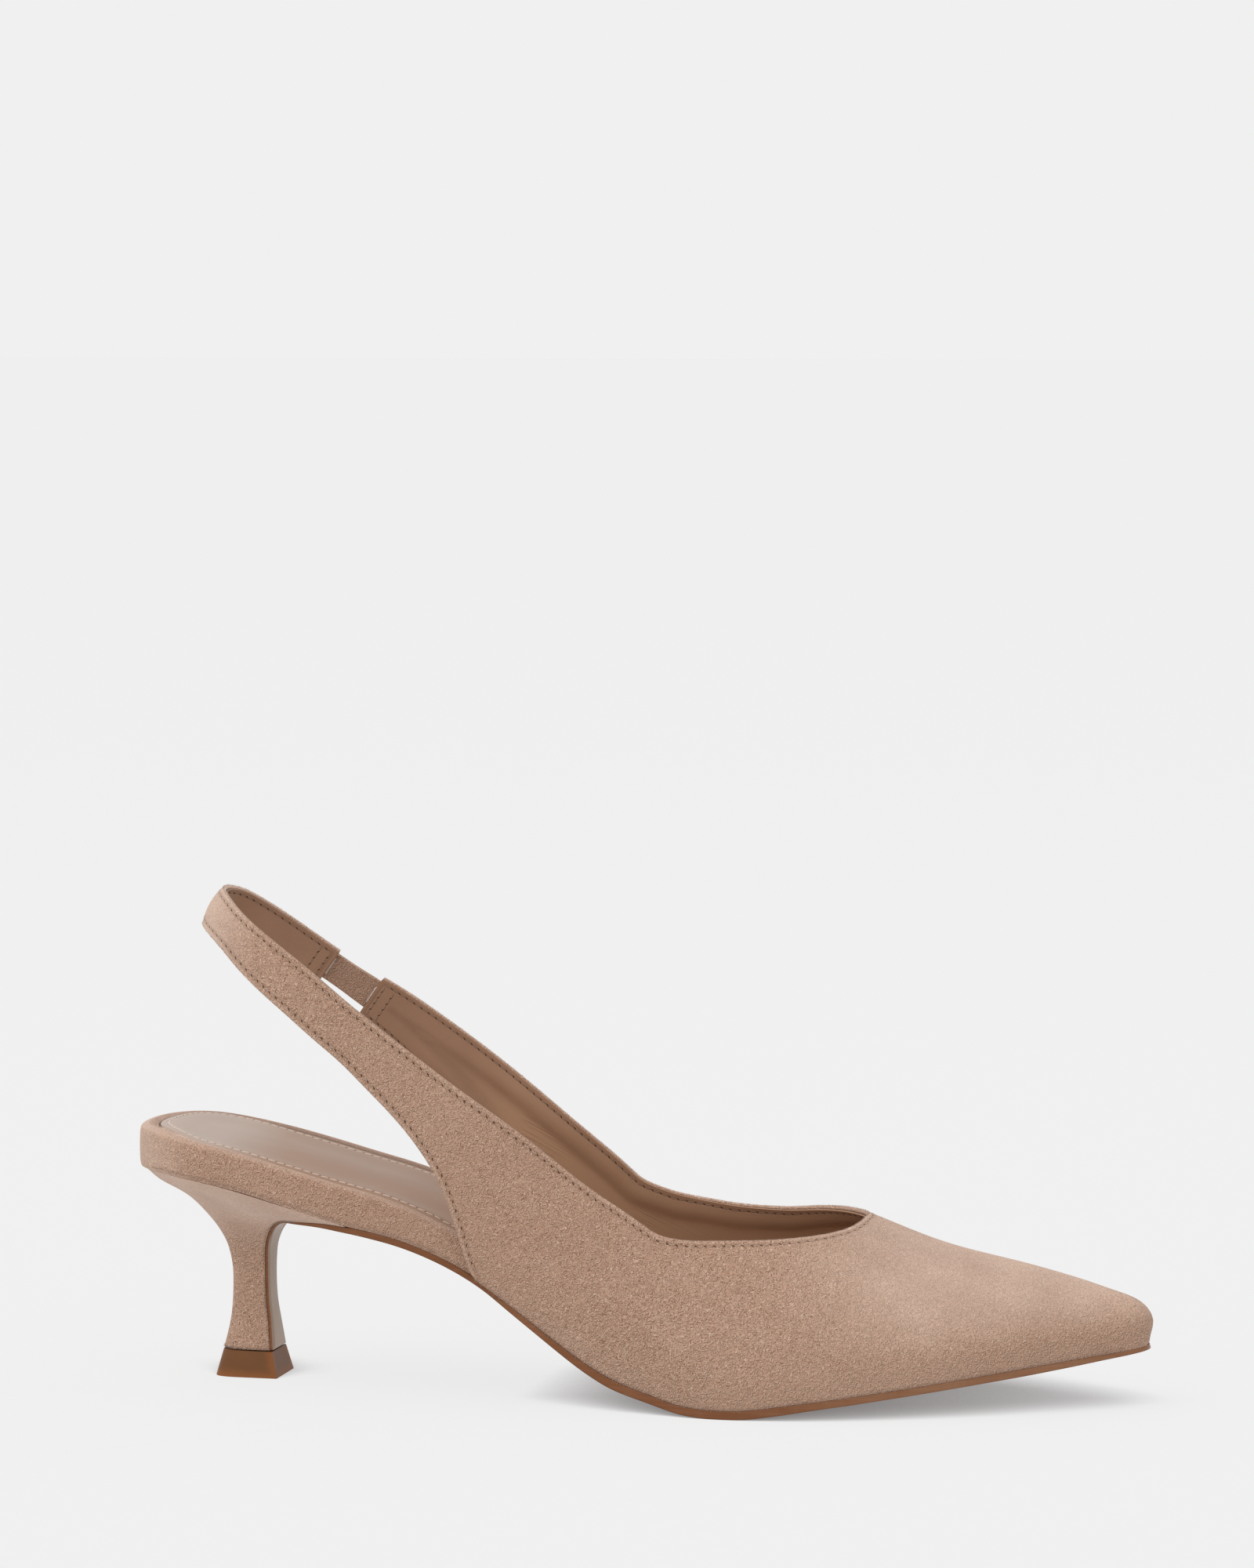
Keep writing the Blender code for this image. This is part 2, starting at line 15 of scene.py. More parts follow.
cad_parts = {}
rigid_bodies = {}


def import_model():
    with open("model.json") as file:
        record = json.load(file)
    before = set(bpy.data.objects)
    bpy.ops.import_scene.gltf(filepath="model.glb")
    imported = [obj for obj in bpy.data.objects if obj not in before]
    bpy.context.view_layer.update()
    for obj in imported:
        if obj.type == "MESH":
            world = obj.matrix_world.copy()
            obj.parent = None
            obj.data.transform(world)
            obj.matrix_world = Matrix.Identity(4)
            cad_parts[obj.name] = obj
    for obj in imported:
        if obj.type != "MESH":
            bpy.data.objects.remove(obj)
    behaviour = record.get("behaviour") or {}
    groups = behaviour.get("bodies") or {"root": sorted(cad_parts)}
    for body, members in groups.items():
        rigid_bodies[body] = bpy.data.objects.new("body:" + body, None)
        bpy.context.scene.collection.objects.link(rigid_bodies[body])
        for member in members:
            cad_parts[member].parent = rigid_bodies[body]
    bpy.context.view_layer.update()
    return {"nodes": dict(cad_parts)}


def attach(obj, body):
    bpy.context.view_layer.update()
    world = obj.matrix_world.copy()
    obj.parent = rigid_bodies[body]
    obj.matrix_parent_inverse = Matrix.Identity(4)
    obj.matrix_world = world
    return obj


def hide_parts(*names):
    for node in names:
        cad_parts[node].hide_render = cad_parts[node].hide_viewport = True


MM = 0.001

# Layers of the wall
SUEDE = 1.25 * MM
LINING = 0.45 * MM
SUEDE_ROUND = 0.36 * MM
LINING_ROUND = 0.15 * MM

# Rows of stitches: how far in from their edge, from stitch to stitch, and the turn at a tab corner
SUEDE_SEAM = 1.6 * MM
LINING_SEAM = 1.1 * MM
SEAM_PITCH = 2.3 * MM
TAB_ROWS = (1.8 * MM, 4.6 * MM)
TAB_PITCH = 2.0 * MM
TAB_CORNER = math.radians(50)
SOCK_SEAM = 1.8 * MM
SOCK_PITCH = 2.4 * MM

# Stitches and needle holes, the holes dark pods of painted shade: half lengths, half widths and half
# heights, and their slant to the row
THREAD = (0.80 * MM, 0.17 * MM, 0.12 * MM)
SOCK_THREAD = (1.10 * MM, 0.27 * MM, 0.24 * MM)
NEEDLE_HOLE = (0.45 * MM, 0.16 * MM, 0.06 * MM)
THREAD_SLANT = math.radians(8.0)
HOLE_SLANT = math.radians(-22.0)

# Nap that stands off the edges: radius and length of a fibre, from fibre to fibre, and its root
FIBRE = (0.032 * MM, 0.65 * MM)
FIBRE_PITCH = 0.07 * MM
FIBRE_ROOTS = 0.35 * MM
FIBRE_STRAY = 0.1 * MM
FIBRE_LENGTHS = (0.35, 1.1)

# How much a fibre stands up from the surface, leans over the edge, and strays
FIBRE_STAND = 0.65
FIBRE_LEAN = 0.5
FIBRE_WILD = 0.45

# Fibres of each edge: the way they lean, and how long they are against a plain fibre
TOPLINE_FUZZ = ((0.0, 0.0, 1.0), 0.6)
FEATHER_FUZZ = ((0.0, 0.0, -0.7), 1.5)
WING_FUZZ = ((-0.5, 0.0, -0.5), 0.6)
FOOTBED_FUZZ = ((0.0, 0.0, -1.0), 1.4)
HEEL_FUZZ = ((0.3, 0.0, -0.7), 1.2)

# How far the nap is brushed smoother, and painted light where it is paler: on faces that look up, round
# the loop, at the seat, on the heel's top and on the rim's shaded wall; less than nothing leaves it
# rougher than usual and darker, painted shade low on the wall by the arch
BRUSHED_AND_PAINTED_LIGHT = {"toes": 0.9, "loop": 0.95, "arch": -0.6, "seat": 0.75, "top": 0.4, "rim": 1.2, "heel": 1.1}

# Nap on the faces: strands to the metre, and the way from a strand's lit side to its shaded side
STRANDS = 1300.0
UNDER_STRANDS = 1550.0
STRAND_SHADE = (0.078 * MM, 0.061 * MM, -0.122 * MM)

# A point inside the shoe over the ball, one far outside it and one over the sock
INSIDE = Vector((0.02, 0.0, 0.025))
OUTSIDE = Vector((0.02, -0.3, 0.03))
OVER_SOCK = Vector((-0.06, 0.0, 0.2))

# Places along the shoe from its middle: wings, toe tip, back of the seat, breast flap and heel
WING_FOOT = -36.6 * MM
TOE_TIP = 124.0 * MM
SEAT_BACK = -122.0 * MM
SEAT_RIM_FROM = -116.0 * MM
FLAP_FROM = -80.0 * MM
HEEL_FRONT = -60.0 * MM

# Heights in the heel: its foot, the top of its breast and the top of its free edges
HEEL_FOOT = 10.0 * MM
BREAST_TOP = 38.0 * MM
HEEL_EDGES_TOP = 43.0 * MM

# Soft steps by station along the shoe, in millimetres: none at the first, full at the second
OVER_TOES = (35, 75)
BEFORE_TIP = (127, 112)
ROUND_LOOP = (-92, -108)
ALONG_ARCH = (45, 5)
SEAT_END = (-108, -126)
SOCK_END = (-92, -122)
SOCK_BACK = (-86, -112)
SOCK_WAIST = (-35, -75)
LEAN_FROM = (-122, -85)
INTO_VAMP = (-64, -30)
INTO_TOE = (-15, 15)
SOLE_TOE = (30, 80)

# Soft steps by height or by breadth, in millimetres
LOW_ON_WALL = (36, 12)
ROLL_BELOW = (90, 70)
HEEL_TOP = (30, 44)
LEAN_SIDE = (0, 24)
INNER_SIDE = (-4, 12)

# Roll of the sole behind the ball: its station and half length in millimetres
BALL_ROLL = 12
BALL_ROLL_HALF = 14

# Line between suede and sole: raised at the roll, lower under the toes
FEATHER_UP = 1.0 * MM
FEATHER_DOWN = 0.8 * MM
FEATHER_FALLS = (38, 62)

# Lower edge of the sole: raised at the roll and the tip, lower between them
TREAD_UP = 1.15 * MM
TREAD_TIP_UP = 0.35 * MM
TREAD_DOWN = 0.4 * MM
TREAD_TIP = (112, 128)
TREAD_FALLS = (40, 60)
TREAD_ENDS = (125, 100)

# Lining: the roll below its seam, and the line of painted shadow under the roll
ROLL_UP = 0.6 * MM
ROLL_MIDDLE = 4.0 * MM
ROLL_HALF = 3.6 * MM
ROLL_SHADOW_LINE = 7.0 * MM

# Sock: the room under it, the part of the footbed that goes with it, and the rim left behind it
SOCK_ROOM = 1.5 * MM
SOCK_REACH = 0.7 * MM
REAR_RIM = 2.4 * MM
RIM_REACH = (1.2 * MM, 0.6 * MM)

# Form of the sock: rings inside its edge, sunk seam, rolled edge, cup, and the drop of its inner side
SOCK_RINGS = 4
SOCK_RING = 0.8 * MM
SOCK_GROOVE = 0.16 * MM
SOCK_GROOVE_HALF = 0.9 * MM
SOCK_EDGE = 0.2 * MM
SOCK_EDGE_ROLL = 1.4 * MM
SOCK_CUP = 0.9 * MM
SOCK_CUP_FROM = (1.8 * MM, 10.0 * MM)
SOCK_LEAN = 1.1 * MM

# How far covers are drawn down, out and up over the gaps that the solids leave
DRAWN = 0.2 * MM
FOOT_DRAWN = 0.45 * MM
FOOTBED_OUT = 0.45 * MM
FOOTBED_BACK_IN = 0.2 * MM
HEEL_COVER = 0.26 * MM
WEDGE_COVER = 0.15 * MM
SOLE_UP = 0.08 * MM

# Edges sharper than this many degrees stay crisp when a piece is smoothed
CRISP = {"footbed": 60.0, "sock": 60.0, "heel": 28.0, "outsole": 40.0}

# Angles in degrees that find the edge of a wall, of the sock's top, of the footbed and of the top lift
WALL_EDGE = 42.0
SOCK_TOP_EDGE = 25.0
FOOTBED_EDGE = 30.0
LIFT_EDGE = 40.0

# Part of a normal that says a face looks down at the floor
DOWNWARD = -0.6

# Elastic: how far it runs on inside each tab, its end faces, and its rounded edges
ELASTIC_HELD = 3.0 * MM
ELASTIC_END = 0.9 * MM
ELASTIC_ROUND = 0.15 * MM

# White tape that shows at each end of the elastic: its size, rounding and how far it stands out
TAPE = (0.45 * MM, 5.4 * MM, 0.35 * MM)
TAPE_ROUND = 0.12 * MM
TAPE_OUT = 0.1 * MM

# Rounded edges of the top lift
LIFT_ROUND = 0.9 * MM

# Steps of the samples along an edge, points that count as the same, and points that are merged
EDGE_STEP = 0.25 * MM
SAME_POINT = 0.01 * MM
MERGED = 0.001 * MM

# Floor: its size, how far off a piece still darkens its glow with painted shadow, and the way to the
# light that keeps it pale
FLOOR_SIZE = 60.0
PAINTED_SHADOW_REACH = 24.0 * MM
FLOOR_LIGHT = (0.05, -0.92, 0.38)

# Even light all round, a soft sun and one soft box overhead
STUDIO_GREY = (0.871, 0.871, 0.871, 1.0)
SUN_TURN = (math.radians(25), math.radians(-32), 0.0)
SUN_POWER = 0.8
SUN_SPREAD = math.radians(40)
BOX_PLACE = (-0.3, 0.0, 2.2)
BOX_SIZE = 2.0
BOX_POWER = 10.0

# Camera at the photograph's viewing angle; lens and sensor in millimetres
CAMERA_TURN = math.radians(13.131)
CAMERA_PITCH = math.radians(4.568)
CAMERA_DISTANCE = 1.5
CAMERA_TARGET = Vector((-0.003116, 0.0, 0.15378))
CAMERA_LENS = 136.8
CAMERA_SENSOR = 36.0

rng = np.random.default_rng(11)


# Hand tools

def pick(*pieces):
    """Selects these pieces alone, the first one active."""
    bpy.ops.object.select_all(action="DESELECT")
    for piece in pieces:
        piece.select_set(True)
    bpy.context.view_layer.objects.active = pieces[0]


@contextmanager
def editing(piece, select="FACE"):
    """Edit mode on one piece, selecting by vertex, edge or face."""
    pick(piece)
    modes = [select == kind for kind in ("VERT", "EDGE", "FACE")]
    bpy.context.tool_settings.mesh_select_mode = modes
    bpy.ops.object.mode_set(mode="EDIT")
    yield
    bpy.ops.object.mode_set(mode="OBJECT")


def work(piece, kind, **settings):
    """Adds a modifier with these settings and applies it."""
    modifier = piece.modifiers.new(kind.lower(), kind)
    for name, value in settings.items():
        setattr(modifier, name, value)
    pick(piece)
    bpy.ops.object.modifier_apply(modifier=modifier.name)


def round_edges(piece, width, angle=50.0, segments=2):
    """Bevels the edges sharper than this angle."""
    work(piece, "BEVEL", width=width, segments=segments, limit_method="ANGLE",
         angle_limit=math.radians(angle))


def smooth(piece, levels):
    """Subdivides a piece and shades it smooth."""
    work(piece, "SUBSURF", levels=levels, render_levels=levels)
    pick(piece)
    bpy.ops.object.shade_smooth()


def take(node, name):
    """A copy of a solid's mesh, its triangles merged and made quads again."""
    piece = bpy.data.objects.new(name, frame["nodes"][node].data.copy())
    bpy.context.scene.collection.objects.link(piece)
    piece.data.materials.clear()
    pick(piece)
    bpy.ops.mesh.customdata_custom_splitnormals_clear()
    with editing(piece):
        bpy.ops.mesh.select_all(action="SELECT")
        bpy.ops.mesh.remove_doubles(threshold=MERGED)
        bpy.ops.mesh.tris_convert_to_quads(face_threshold=math.pi, shape_threshold=math.pi)
        bpy.ops.mesh.mark_sharp(clear=True)
        bpy.ops.mesh.select_all(action="DESELECT")
    return piece


def keep_side(piece, near, sharp=WALL_EDGE):
    """Keeps the one side of a wall that this point is nearest to; its edge is sharp all round."""
    face = piece.closest_point_on_mesh(near)[3]
    with editing(piece, "EDGE"):
        bpy.ops.mesh.select_all(action="DESELECT")
        bpy.ops.mesh.edges_select_sharp(sharpness=math.radians(sharp))
        bpy.ops.mesh.mark_seam()
        bpy.ops.mesh.select_mode(type="FACE")
        bpy.ops.mesh.select_all(action="DESELECT")
    piece.data.polygons[face].select = True
    with editing(piece):
        bpy.ops.mesh.select_linked(delimit={"SEAM"})
        bpy.ops.mesh.select_all(action="INVERT")
        bpy.ops.mesh.delete(type="FACE")


def shift(piece, wanted, by):
    """Moves the vertices that a test of the vertex wants."""
    with editing(piece, "VERT"):
        bpy.ops.mesh.select_all(action="DESELECT")
    for vertex in piece.data.vertices:
        vertex.select = wanted(vertex)
    with editing(piece, "VERT"):
        bpy.ops.transform.translate(value=by)
        bpy.ops.mesh.select_all(action="DESELECT")


def firm(piece, angle):
    """Creases the edges sharper than this angle, so that smoothing leaves them crisp."""
    with editing(piece, "EDGE"):
        bpy.ops.mesh.select_all(action="DESELECT")
        bpy.ops.mesh.edges_select_sharp(sharpness=math.radians(angle))
        bpy.ops.transform.edge_crease(value=1.0)
        bpy.ops.mesh.select_all(action="DESELECT")


def dress(piece, material, node=None):
    """Gives a finished piece its material and its body, and hides the solid that it stands for."""
    piece.data.materials.clear()
    piece.data.materials.append(material)
    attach(piece, "root")
    if node:
        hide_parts(node)


# Edges and rows of stitches

def rim_points(piece):
    """The open edge of a sheet as one closed run of points."""
    used = {}
    for face in piece.data.polygons:
        for key in face.edge_keys:
            used[key] = used.get(key, 0) + 1
    beside = {}
    for a, b in (key for key, count in used.items() if count == 1):
        beside.setdefault(a, []).append(b)
        beside.setdefault(b, []).append(a)
    start = min(beside)
    run = [start, beside[start][0]]
    while run[-1] != start:
        ahead = [v for v in beside[run[-1]] if v != run[-2]]
        run.append(ahead[0])
    return np.array([piece.data.vertices[v].co for v in run[:-1]])


def edge_lines(piece):
    """The open edge of the upper, cut at the corners of the tabs and at the feet of the wings."""
    points = rim_points(piece)
    before = points - np.roll(points, 1, axis=0)
    after = np.roll(points, -1, axis=0) - points
    cosine = np.sum(before * after, axis=1)
    cosine /= np.linalg.norm(before, axis=1) * np.linalg.norm(after, axis=1)
    corners = np.flatnonzero(cosine < math.cos(TAB_CORNER))
    lines = []
    for first, last in zip(corners, np.roll(corners, -1)):
        count = (last - first) % len(points)
        lines.append(points[[(first + i) % len(points) for i in range(count + 1)]])
    rear_tab, front_tab, topline, lower = sorted(lines, key=run_length)
    sole = np.flatnonzero(lower[:, 0] > WING_FOOT)
    return {
        "topline": topline,
        "tabs": [rear_tab, front_tab],
        "lower": [lower[:sole[0] + 1], lower[sole[-1]:]],
        "feather": lower[sole[0]:sole[-1] + 1],
    }


def sharp_lines(piece, angle, wanted):
    """Short lines along the sharp edges of a solid, where a test of middle and normal wants them."""
    beside = {}
    for face in piece.data.polygons:
        for key in face.edge_keys:
            beside.setdefault(key, []).append(face.normal)
    lines = []
    for key, (first, second) in beside.items():
        ends = np.array([piece.data.vertices[v].co for v in key])
        sharp = first.angle(second) > math.radians(angle)
        if sharp and wanted(ends.mean(axis=0), (first + second) / 2):
            lines.append(ends)
    return lines


def run_length(line):
    return float(np.linalg.norm(np.diff(line, axis=0), axis=1).sum())


def along(line, pitch, clear=0.0):
    """Points and ways at an even pitch along a line, clear of both its ends."""
    steps = np.linalg.norm(np.diff(line, axis=0), axis=1)
    run = np.concatenate(((0.0,), np.cumsum(steps)))
    count = max(1, round((run[-1] - 2 * clear) / pitch))
    stops = clear + (np.arange(count) + 0.5) * (run[-1] - 2 * clear) / count
    points = np.stack([np.interp(stops, run, line[:, i]) for i in range(3)], axis=1)
    reach = 0.6 * pitch
    ahead = np.stack([np.interp(stops + reach, run, line[:, i]) for i in range(3)], axis=1)
    behind = np.stack([np.interp(stops - reach, run, line[:, i]) for i in range(3)], axis=1)
    return points, ahead - behind


def surface_of(piece):
    """Tree of a piece's faces, for the nearest place on them and for rays."""
    graph = bpy.context.evaluated_depsgraph_get()
    return BVHTree.FromObject(piece, graph)


def seam(line, sheet, face, inset, pitch, clear=0.0):
    """Places of stitches in a row, as point, way and normal.

    The row is moved in from the edge over the bare sheet, then set down on the finished face.
    """
    places = []
    for point, way in zip(*along(line, pitch, clear)):
        point = Vector(point)
        way = Vector(way).normalized()
        inward = sheet.find_nearest(point)[1].cross(way).normalized() * inset
        options = [sheet.find_nearest(point + inward), sheet.find_nearest(point - inward)]
        over, out, *rest = min(options, key=lambda hit: hit[3])
        spot, normal, *rest = face.ray_cast(over + out * MM, -out)
        if spot:
            places.append((spot, way, normal))
    return places


def slanted(places, angle):
    """The same places, each turned a little across its row."""
    return [(point, Matrix.Rotation(angle, 3, normal) @ way, normal) for point, way, normal in places]


def between(places):
    """Places halfway from each stitch to the next, for the needle holes."""
    halves = []
    for (point, way, normal), (point_on, way_on, normal_on) in zip(places, places[1:]):
        halves.append(((point + point_on) / 2, (way + way_on).normalized(), normal + normal_on))
    return halves


def stance(way, normal):
    """Euler angles of a frame whose X runs along the way and whose Z stands on the surface."""
    up = normal.normalized()
    ahead = (way - up * way.dot(up)).normalized()
    side = up.cross(ahead)
    return Matrix((ahead, side, up)).transposed().to_euler()


def copies_of(model):
    """Node group that puts a copy of the model on each point, turned and sized by its attributes."""
    tree = bpy.data.node_groups.new("copies", "GeometryNodeTree")
    tree.interface.new_socket("Geometry", in_out="INPUT", socket_type="NodeSocketGeometry")
    tree.interface.new_socket("Geometry", in_out="OUTPUT", socket_type="NodeSocketGeometry")
    start = tree.nodes.new("NodeGroupInput")
    end = tree.nodes.new("NodeGroupOutput")
    source = tree.nodes.new("GeometryNodeObjectInfo")
    source.inputs["Object"].default_value = model
    place = tree.nodes.new("GeometryNodeInstanceOnPoints")
    turn = tree.nodes.new("FunctionNodeEulerToRotation")
    real = tree.nodes.new("GeometryNodeRealizeInstances")
    for name, target in (("turn", turn.inputs["Euler"]), ("size", place.inputs["Scale"])):
        read = tree.nodes.new("GeometryNodeInputNamedAttribute")
        read.data_type = "FLOAT_VECTOR"
        read.inputs["Name"].default_value = name
        tree.links.new(read.outputs["Attribute"], target)
    tree.links.new(turn.outputs["Rotation"], place.inputs["Rotation"])
    tree.links.new(start.outputs["Geometry"], place.inputs["Points"])
    tree.links.new(source.outputs["Geometry"], place.inputs["Instance"])
    tree.links.new(place.outputs["Instances"], real.inputs["Geometry"])
    tree.links.new(real.outputs["Geometry"], end.inputs["Geometry"])
    return tree


def strew(name, model, places, sizes=None):
    """One mesh of copies of a small model; each place is a point, a way along and a normal."""
    mesh = bpy.data.meshes.new(name)
    mesh.from_pydata([point for point, way, normal in places], [], [])
    turns = np.array([stance(way, normal) for point, way, normal in places], np.float32)
    if sizes is None:
        sizes = np.ones((len(places), 3))
    for attribute, values in (("turn", turns), ("size", np.asarray(sizes, np.float32))):
        kept = mesh.attributes.new(attribute, "FLOAT_VECTOR", "POINT")
        kept.data.foreach_set("vector", values.ravel())
    piece = bpy.data.objects.new(name, mesh)
    bpy.context.scene.collection.objects.link(piece)
    group = copies_of(model)
    work(piece, "NODES", node_group=group)
    bpy.data.node_groups.remove(group)
    bpy.data.objects.remove(model)
    pick(piece)
    bpy.ops.object.shade_smooth()
    return piece


def pod(size):
    """Model of a stitch or a needle hole: a ball stretched along X."""
    bpy.ops.mesh.primitive_uv_sphere_add(segments=8, ring_count=6, radius=1.0,
                                         rotation=(0.0, math.pi / 2, 0.0))
    model = bpy.context.object
    bpy.ops.object.transform_apply(rotation=True)
    model.scale = size
    bpy.ops.object.transform_apply(scale=True)
    return model


def hair(radius, length):
    """Model of one nap fibre: a three-sided spike along X with its root at the origin."""
    bpy.ops.mesh.primitive_cone_add(vertices=3, radius1=radius, depth=length,
                                    location=(length / 2, 0.0, 0.0), rotation=(0.0, math.pi / 2, 0.0))
    bpy.ops.object.transform_apply(location=True, rotation=True)
    return bpy.context.object


def fuzz(lines, face, lean, length):
    """Places and sizes of fibres along edges: rooted a little way in, they lean out over the edge."""
    lean = Vector(lean).normalized()
    places = []
    for line in lines:
        for point, way in zip(*along(line, FIBRE_PITCH)):
            root = Vector(point) - lean * rng.uniform(0.0, FIBRE_ROOTS)
            spot, normal, *rest = face.find_nearest(root + Vector(rng.normal(0.0, FIBRE_STRAY, 3)))
            stand = normal * FIBRE_STAND + lean * FIBRE_LEAN + Vector(rng.normal(0.0, FIBRE_WILD, 3))
            places.append((spot, stand.normalized(), Vector(rng.normal(0.0, 1.0, 3))))
    sizes = rng.uniform(*FIBRE_LENGTHS, (len(places), 1)) * ((length, 1.0, 1.0),)
    return places, sizes


def write(piece, name, values):
    """Keeps one number for each vertex as an attribute that a material can read."""
    attribute = piece.data.attributes.new(name, "FLOAT", "POINT")
    attribute.data.foreach_set("value", np.asarray(values, np.float32))


def places_of(piece):
    """Places and normals of a piece's vertices, as rows."""
    count = len(piece.data.vertices)
    places = np.empty(3 * count, np.float32)
    normals = np.empty(3 * count, np.float32)
    piece.data.vertices.foreach_get("co", places)
    piece.data.vertex_normals.foreach_get("vector", normals)
    return places.reshape(-1, 3), normals.reshape(-1, 3)


def point_tree(points):
    """Tree that finds the nearest of these points."""
    tree = KDTree(len(points))
    for i, point in enumerate(points):
        tree.insert(point, i)
    tree.balance()
    return tree


def edge_distance(piece, lines):
    """How far each vertex lies from these lines; kept in millimetres as the attribute edge_mm."""
    tree = point_tree(np.concatenate([along(line, EDGE_STEP)[0] for line in lines]))
    far = np.array([tree.find(v.co)[2] for v in piece.data.vertices])
    write(piece, "edge_mm", far / MM)
    return far


def put_places(piece, places):
    """Moves a piece's vertices to these places."""
    piece.data.vertices.foreach_set("co", places.ravel())
    piece.data.update()


def press(piece, depths):
    """Moves each vertex against its normal by its own depth, for soft troughs and ridges."""
    places, normals = places_of(piece)
    places -= normals * np.asarray(depths, np.float32)[:, None]
    put_places(piece, places)


def settle(piece, ahead=0.0, down=0.0):
    """Moves a piece's vertices towards the toe and down by these distances."""
    places, normals = places_of(piece)
    places[:, 0] += ahead
    places[:, 2] -= down
    put_places(piece, places)


def bell(distance, width):
    """Soft profile of a trough: one in its middle, nothing from its width on."""
    t = np.clip(np.abs(distance) / width, 0.0, 1.0)
    return (1.0 - t * t) ** 2


def rise(values, low, high):
    """Soft step from nothing at the low value to one at the high; it falls where low is above high."""
    t = np.clip((values - low) / (high - low), 0.0, 1.0)
    return t * t * (3.0 - 2.0 * t)


# Shader maths

class Tone:
    """A value that changes over a surface. Arithmetic on it adds Math nodes to its finish."""

    def __init__(self, finish, socket):
        self.finish = finish
        self.socket = socket

    def maths(self, operation, first, second):
        return self.finish.node("Math", {"operation": operation}, {0: first, 1: second})

    def __add__(self, other):
        return self.maths("ADD", self, other)

    def __sub__(self, other):
        return self.maths("SUBTRACT", self, other)

    def __rsub__(self, other):
        return self.maths("SUBTRACT", other, self)

    def __mul__(self, other):
        return self.maths("MULTIPLY", self, other)

    def __abs__(self):
        return self.finish.node("Math", {"operation": "ABSOLUTE"}, {0: self})

    def held(self):
        """The value kept from nothing to one."""
        return self.finish.node("Math", {"operation": "ADD", "use_clamp": True}, {0: self, 1: 0.0})

    __radd__ = __add__
    __rmul__ = __mul__


class Finish:
    """A material: its constants are set on the shader, and its nodes are added by one method."""

    def __init__(self, name, constants):
        self.material = bpy.data.materials.new(name)
        self.material.use_nodes = True
        self.tree = self.material.node_tree
        self.shader = self.tree.nodes["Principled BSDF"]
        for socket, value in constants.items():
            self.shader.inputs[socket].default_value = value

    def node(self, kind, settings=None, sockets=None, out=0):
        """Adds a node: its settings first, then the values or links of its sockets."""
        node = self.tree.nodes.new("ShaderNode" + kind)
        for name, value in (settings or {}).items():
            if name == "stops":
                self.set_stops(node.color_ramp, value)
            else:
                setattr(node, name, value)
        for name, value in (sockets or {}).items():
            self.feed(node.inputs[name], value)
        return Tone(self, node.outputs[out])

    def feed(self, socket, value):
        if isinstance(value, Tone):
            self.tree.links.new(value.socket, socket)
        else:
            socket.default_value = value

    def set_stops(self, ramp, stops):
        while len(ramp.elements) < len(stops):
            ramp.elements.new(1.0)
        for element, (at, colour) in zip(ramp.elements, stops):
            element.position = at
            element.color = (*colour, 1.0)

    def place(self, scale=(1.0, 1.0, 1.0), turn=(0.0, 0.0, 0.0), move=(0.0, 0.0, 0.0)):
        """Object coordinates, turned and moved by one Mapping node, then stretched by another."""
        where = self.node("TexCoord", out="Object")
        turned = self.node("Mapping", None, {"Vector": where, "Rotation": turn, "Location": move})
        return self.node("Mapping", None, {"Vector": turned, "Scale": scale})

    def noise(self, where, scale, detail=2.0, roughness=0.5, distortion=0.0):
        """Noise about nothing: from about minus a half to a half."""
        sockets = {"Vector": where, "Scale": scale, "Detail": detail, "Roughness": roughness,
                   "Distortion": distortion}
        return self.node("TexNoise", None, sockets) - 0.5

    def strands(self, where, scale):
        """Curly strands: one along the middle of each, nothing between them."""
        return 1.0 - self.step(abs(self.noise(where, scale, 1.0, 0.5, 1.2)), 0.0, 0.2)

    def ramp(self, value, stops):
        return self.node("ValToRGB", {"stops": stops}, {"Fac": value})

    def mix(self, share, first, second):
        return self.node("Mix", {"data_type": "RGBA"}, {0: share, 6: first, 7: second}, out=2)

    def step(self, value, low, high):
        """A smooth step from nothing at the low value to one at the high."""
        settings = {"interpolation_type": "SMOOTHSTEP"}
        return self.node("MapRange", settings, {"Value": value, "From Min": low, "From Max": high})

    def attribute(self, name):
        return self.node("Attribute", {"attribute_name": name}, out="Fac")

    def bump(self, height, strength, depth):
        return self.node("Bump", None, {"Height": height, "Strength": strength, "Distance": depth})

    def wear(self, colour=None, roughness=None, normal=None, glow_and_painted_shadow=None):
        """Links what changes over the surface to the shader, and gives the material."""
        for socket, value in (("Base Color", colour), ("Roughness", roughness), ("Normal", normal),
                              ("Emission Color", glow_and_painted_shadow)):
            if value is not None:
                self.feed(self.shader.inputs[socket], value)
        return self.material


# Finishes

# Colours of the nap from the roots to the lit tips
NAP_TONES = [
    (0.0, (0.245, 0.128, 0.077)),
    (0.3, (0.328, 0.186, 0.121)),
    (0.5, (0.408, 0.242, 0.165)),
    (0.72, (0.503, 0.320, 0.229)),
    (1.0, (0.636, 0.451, 0.345)),
]


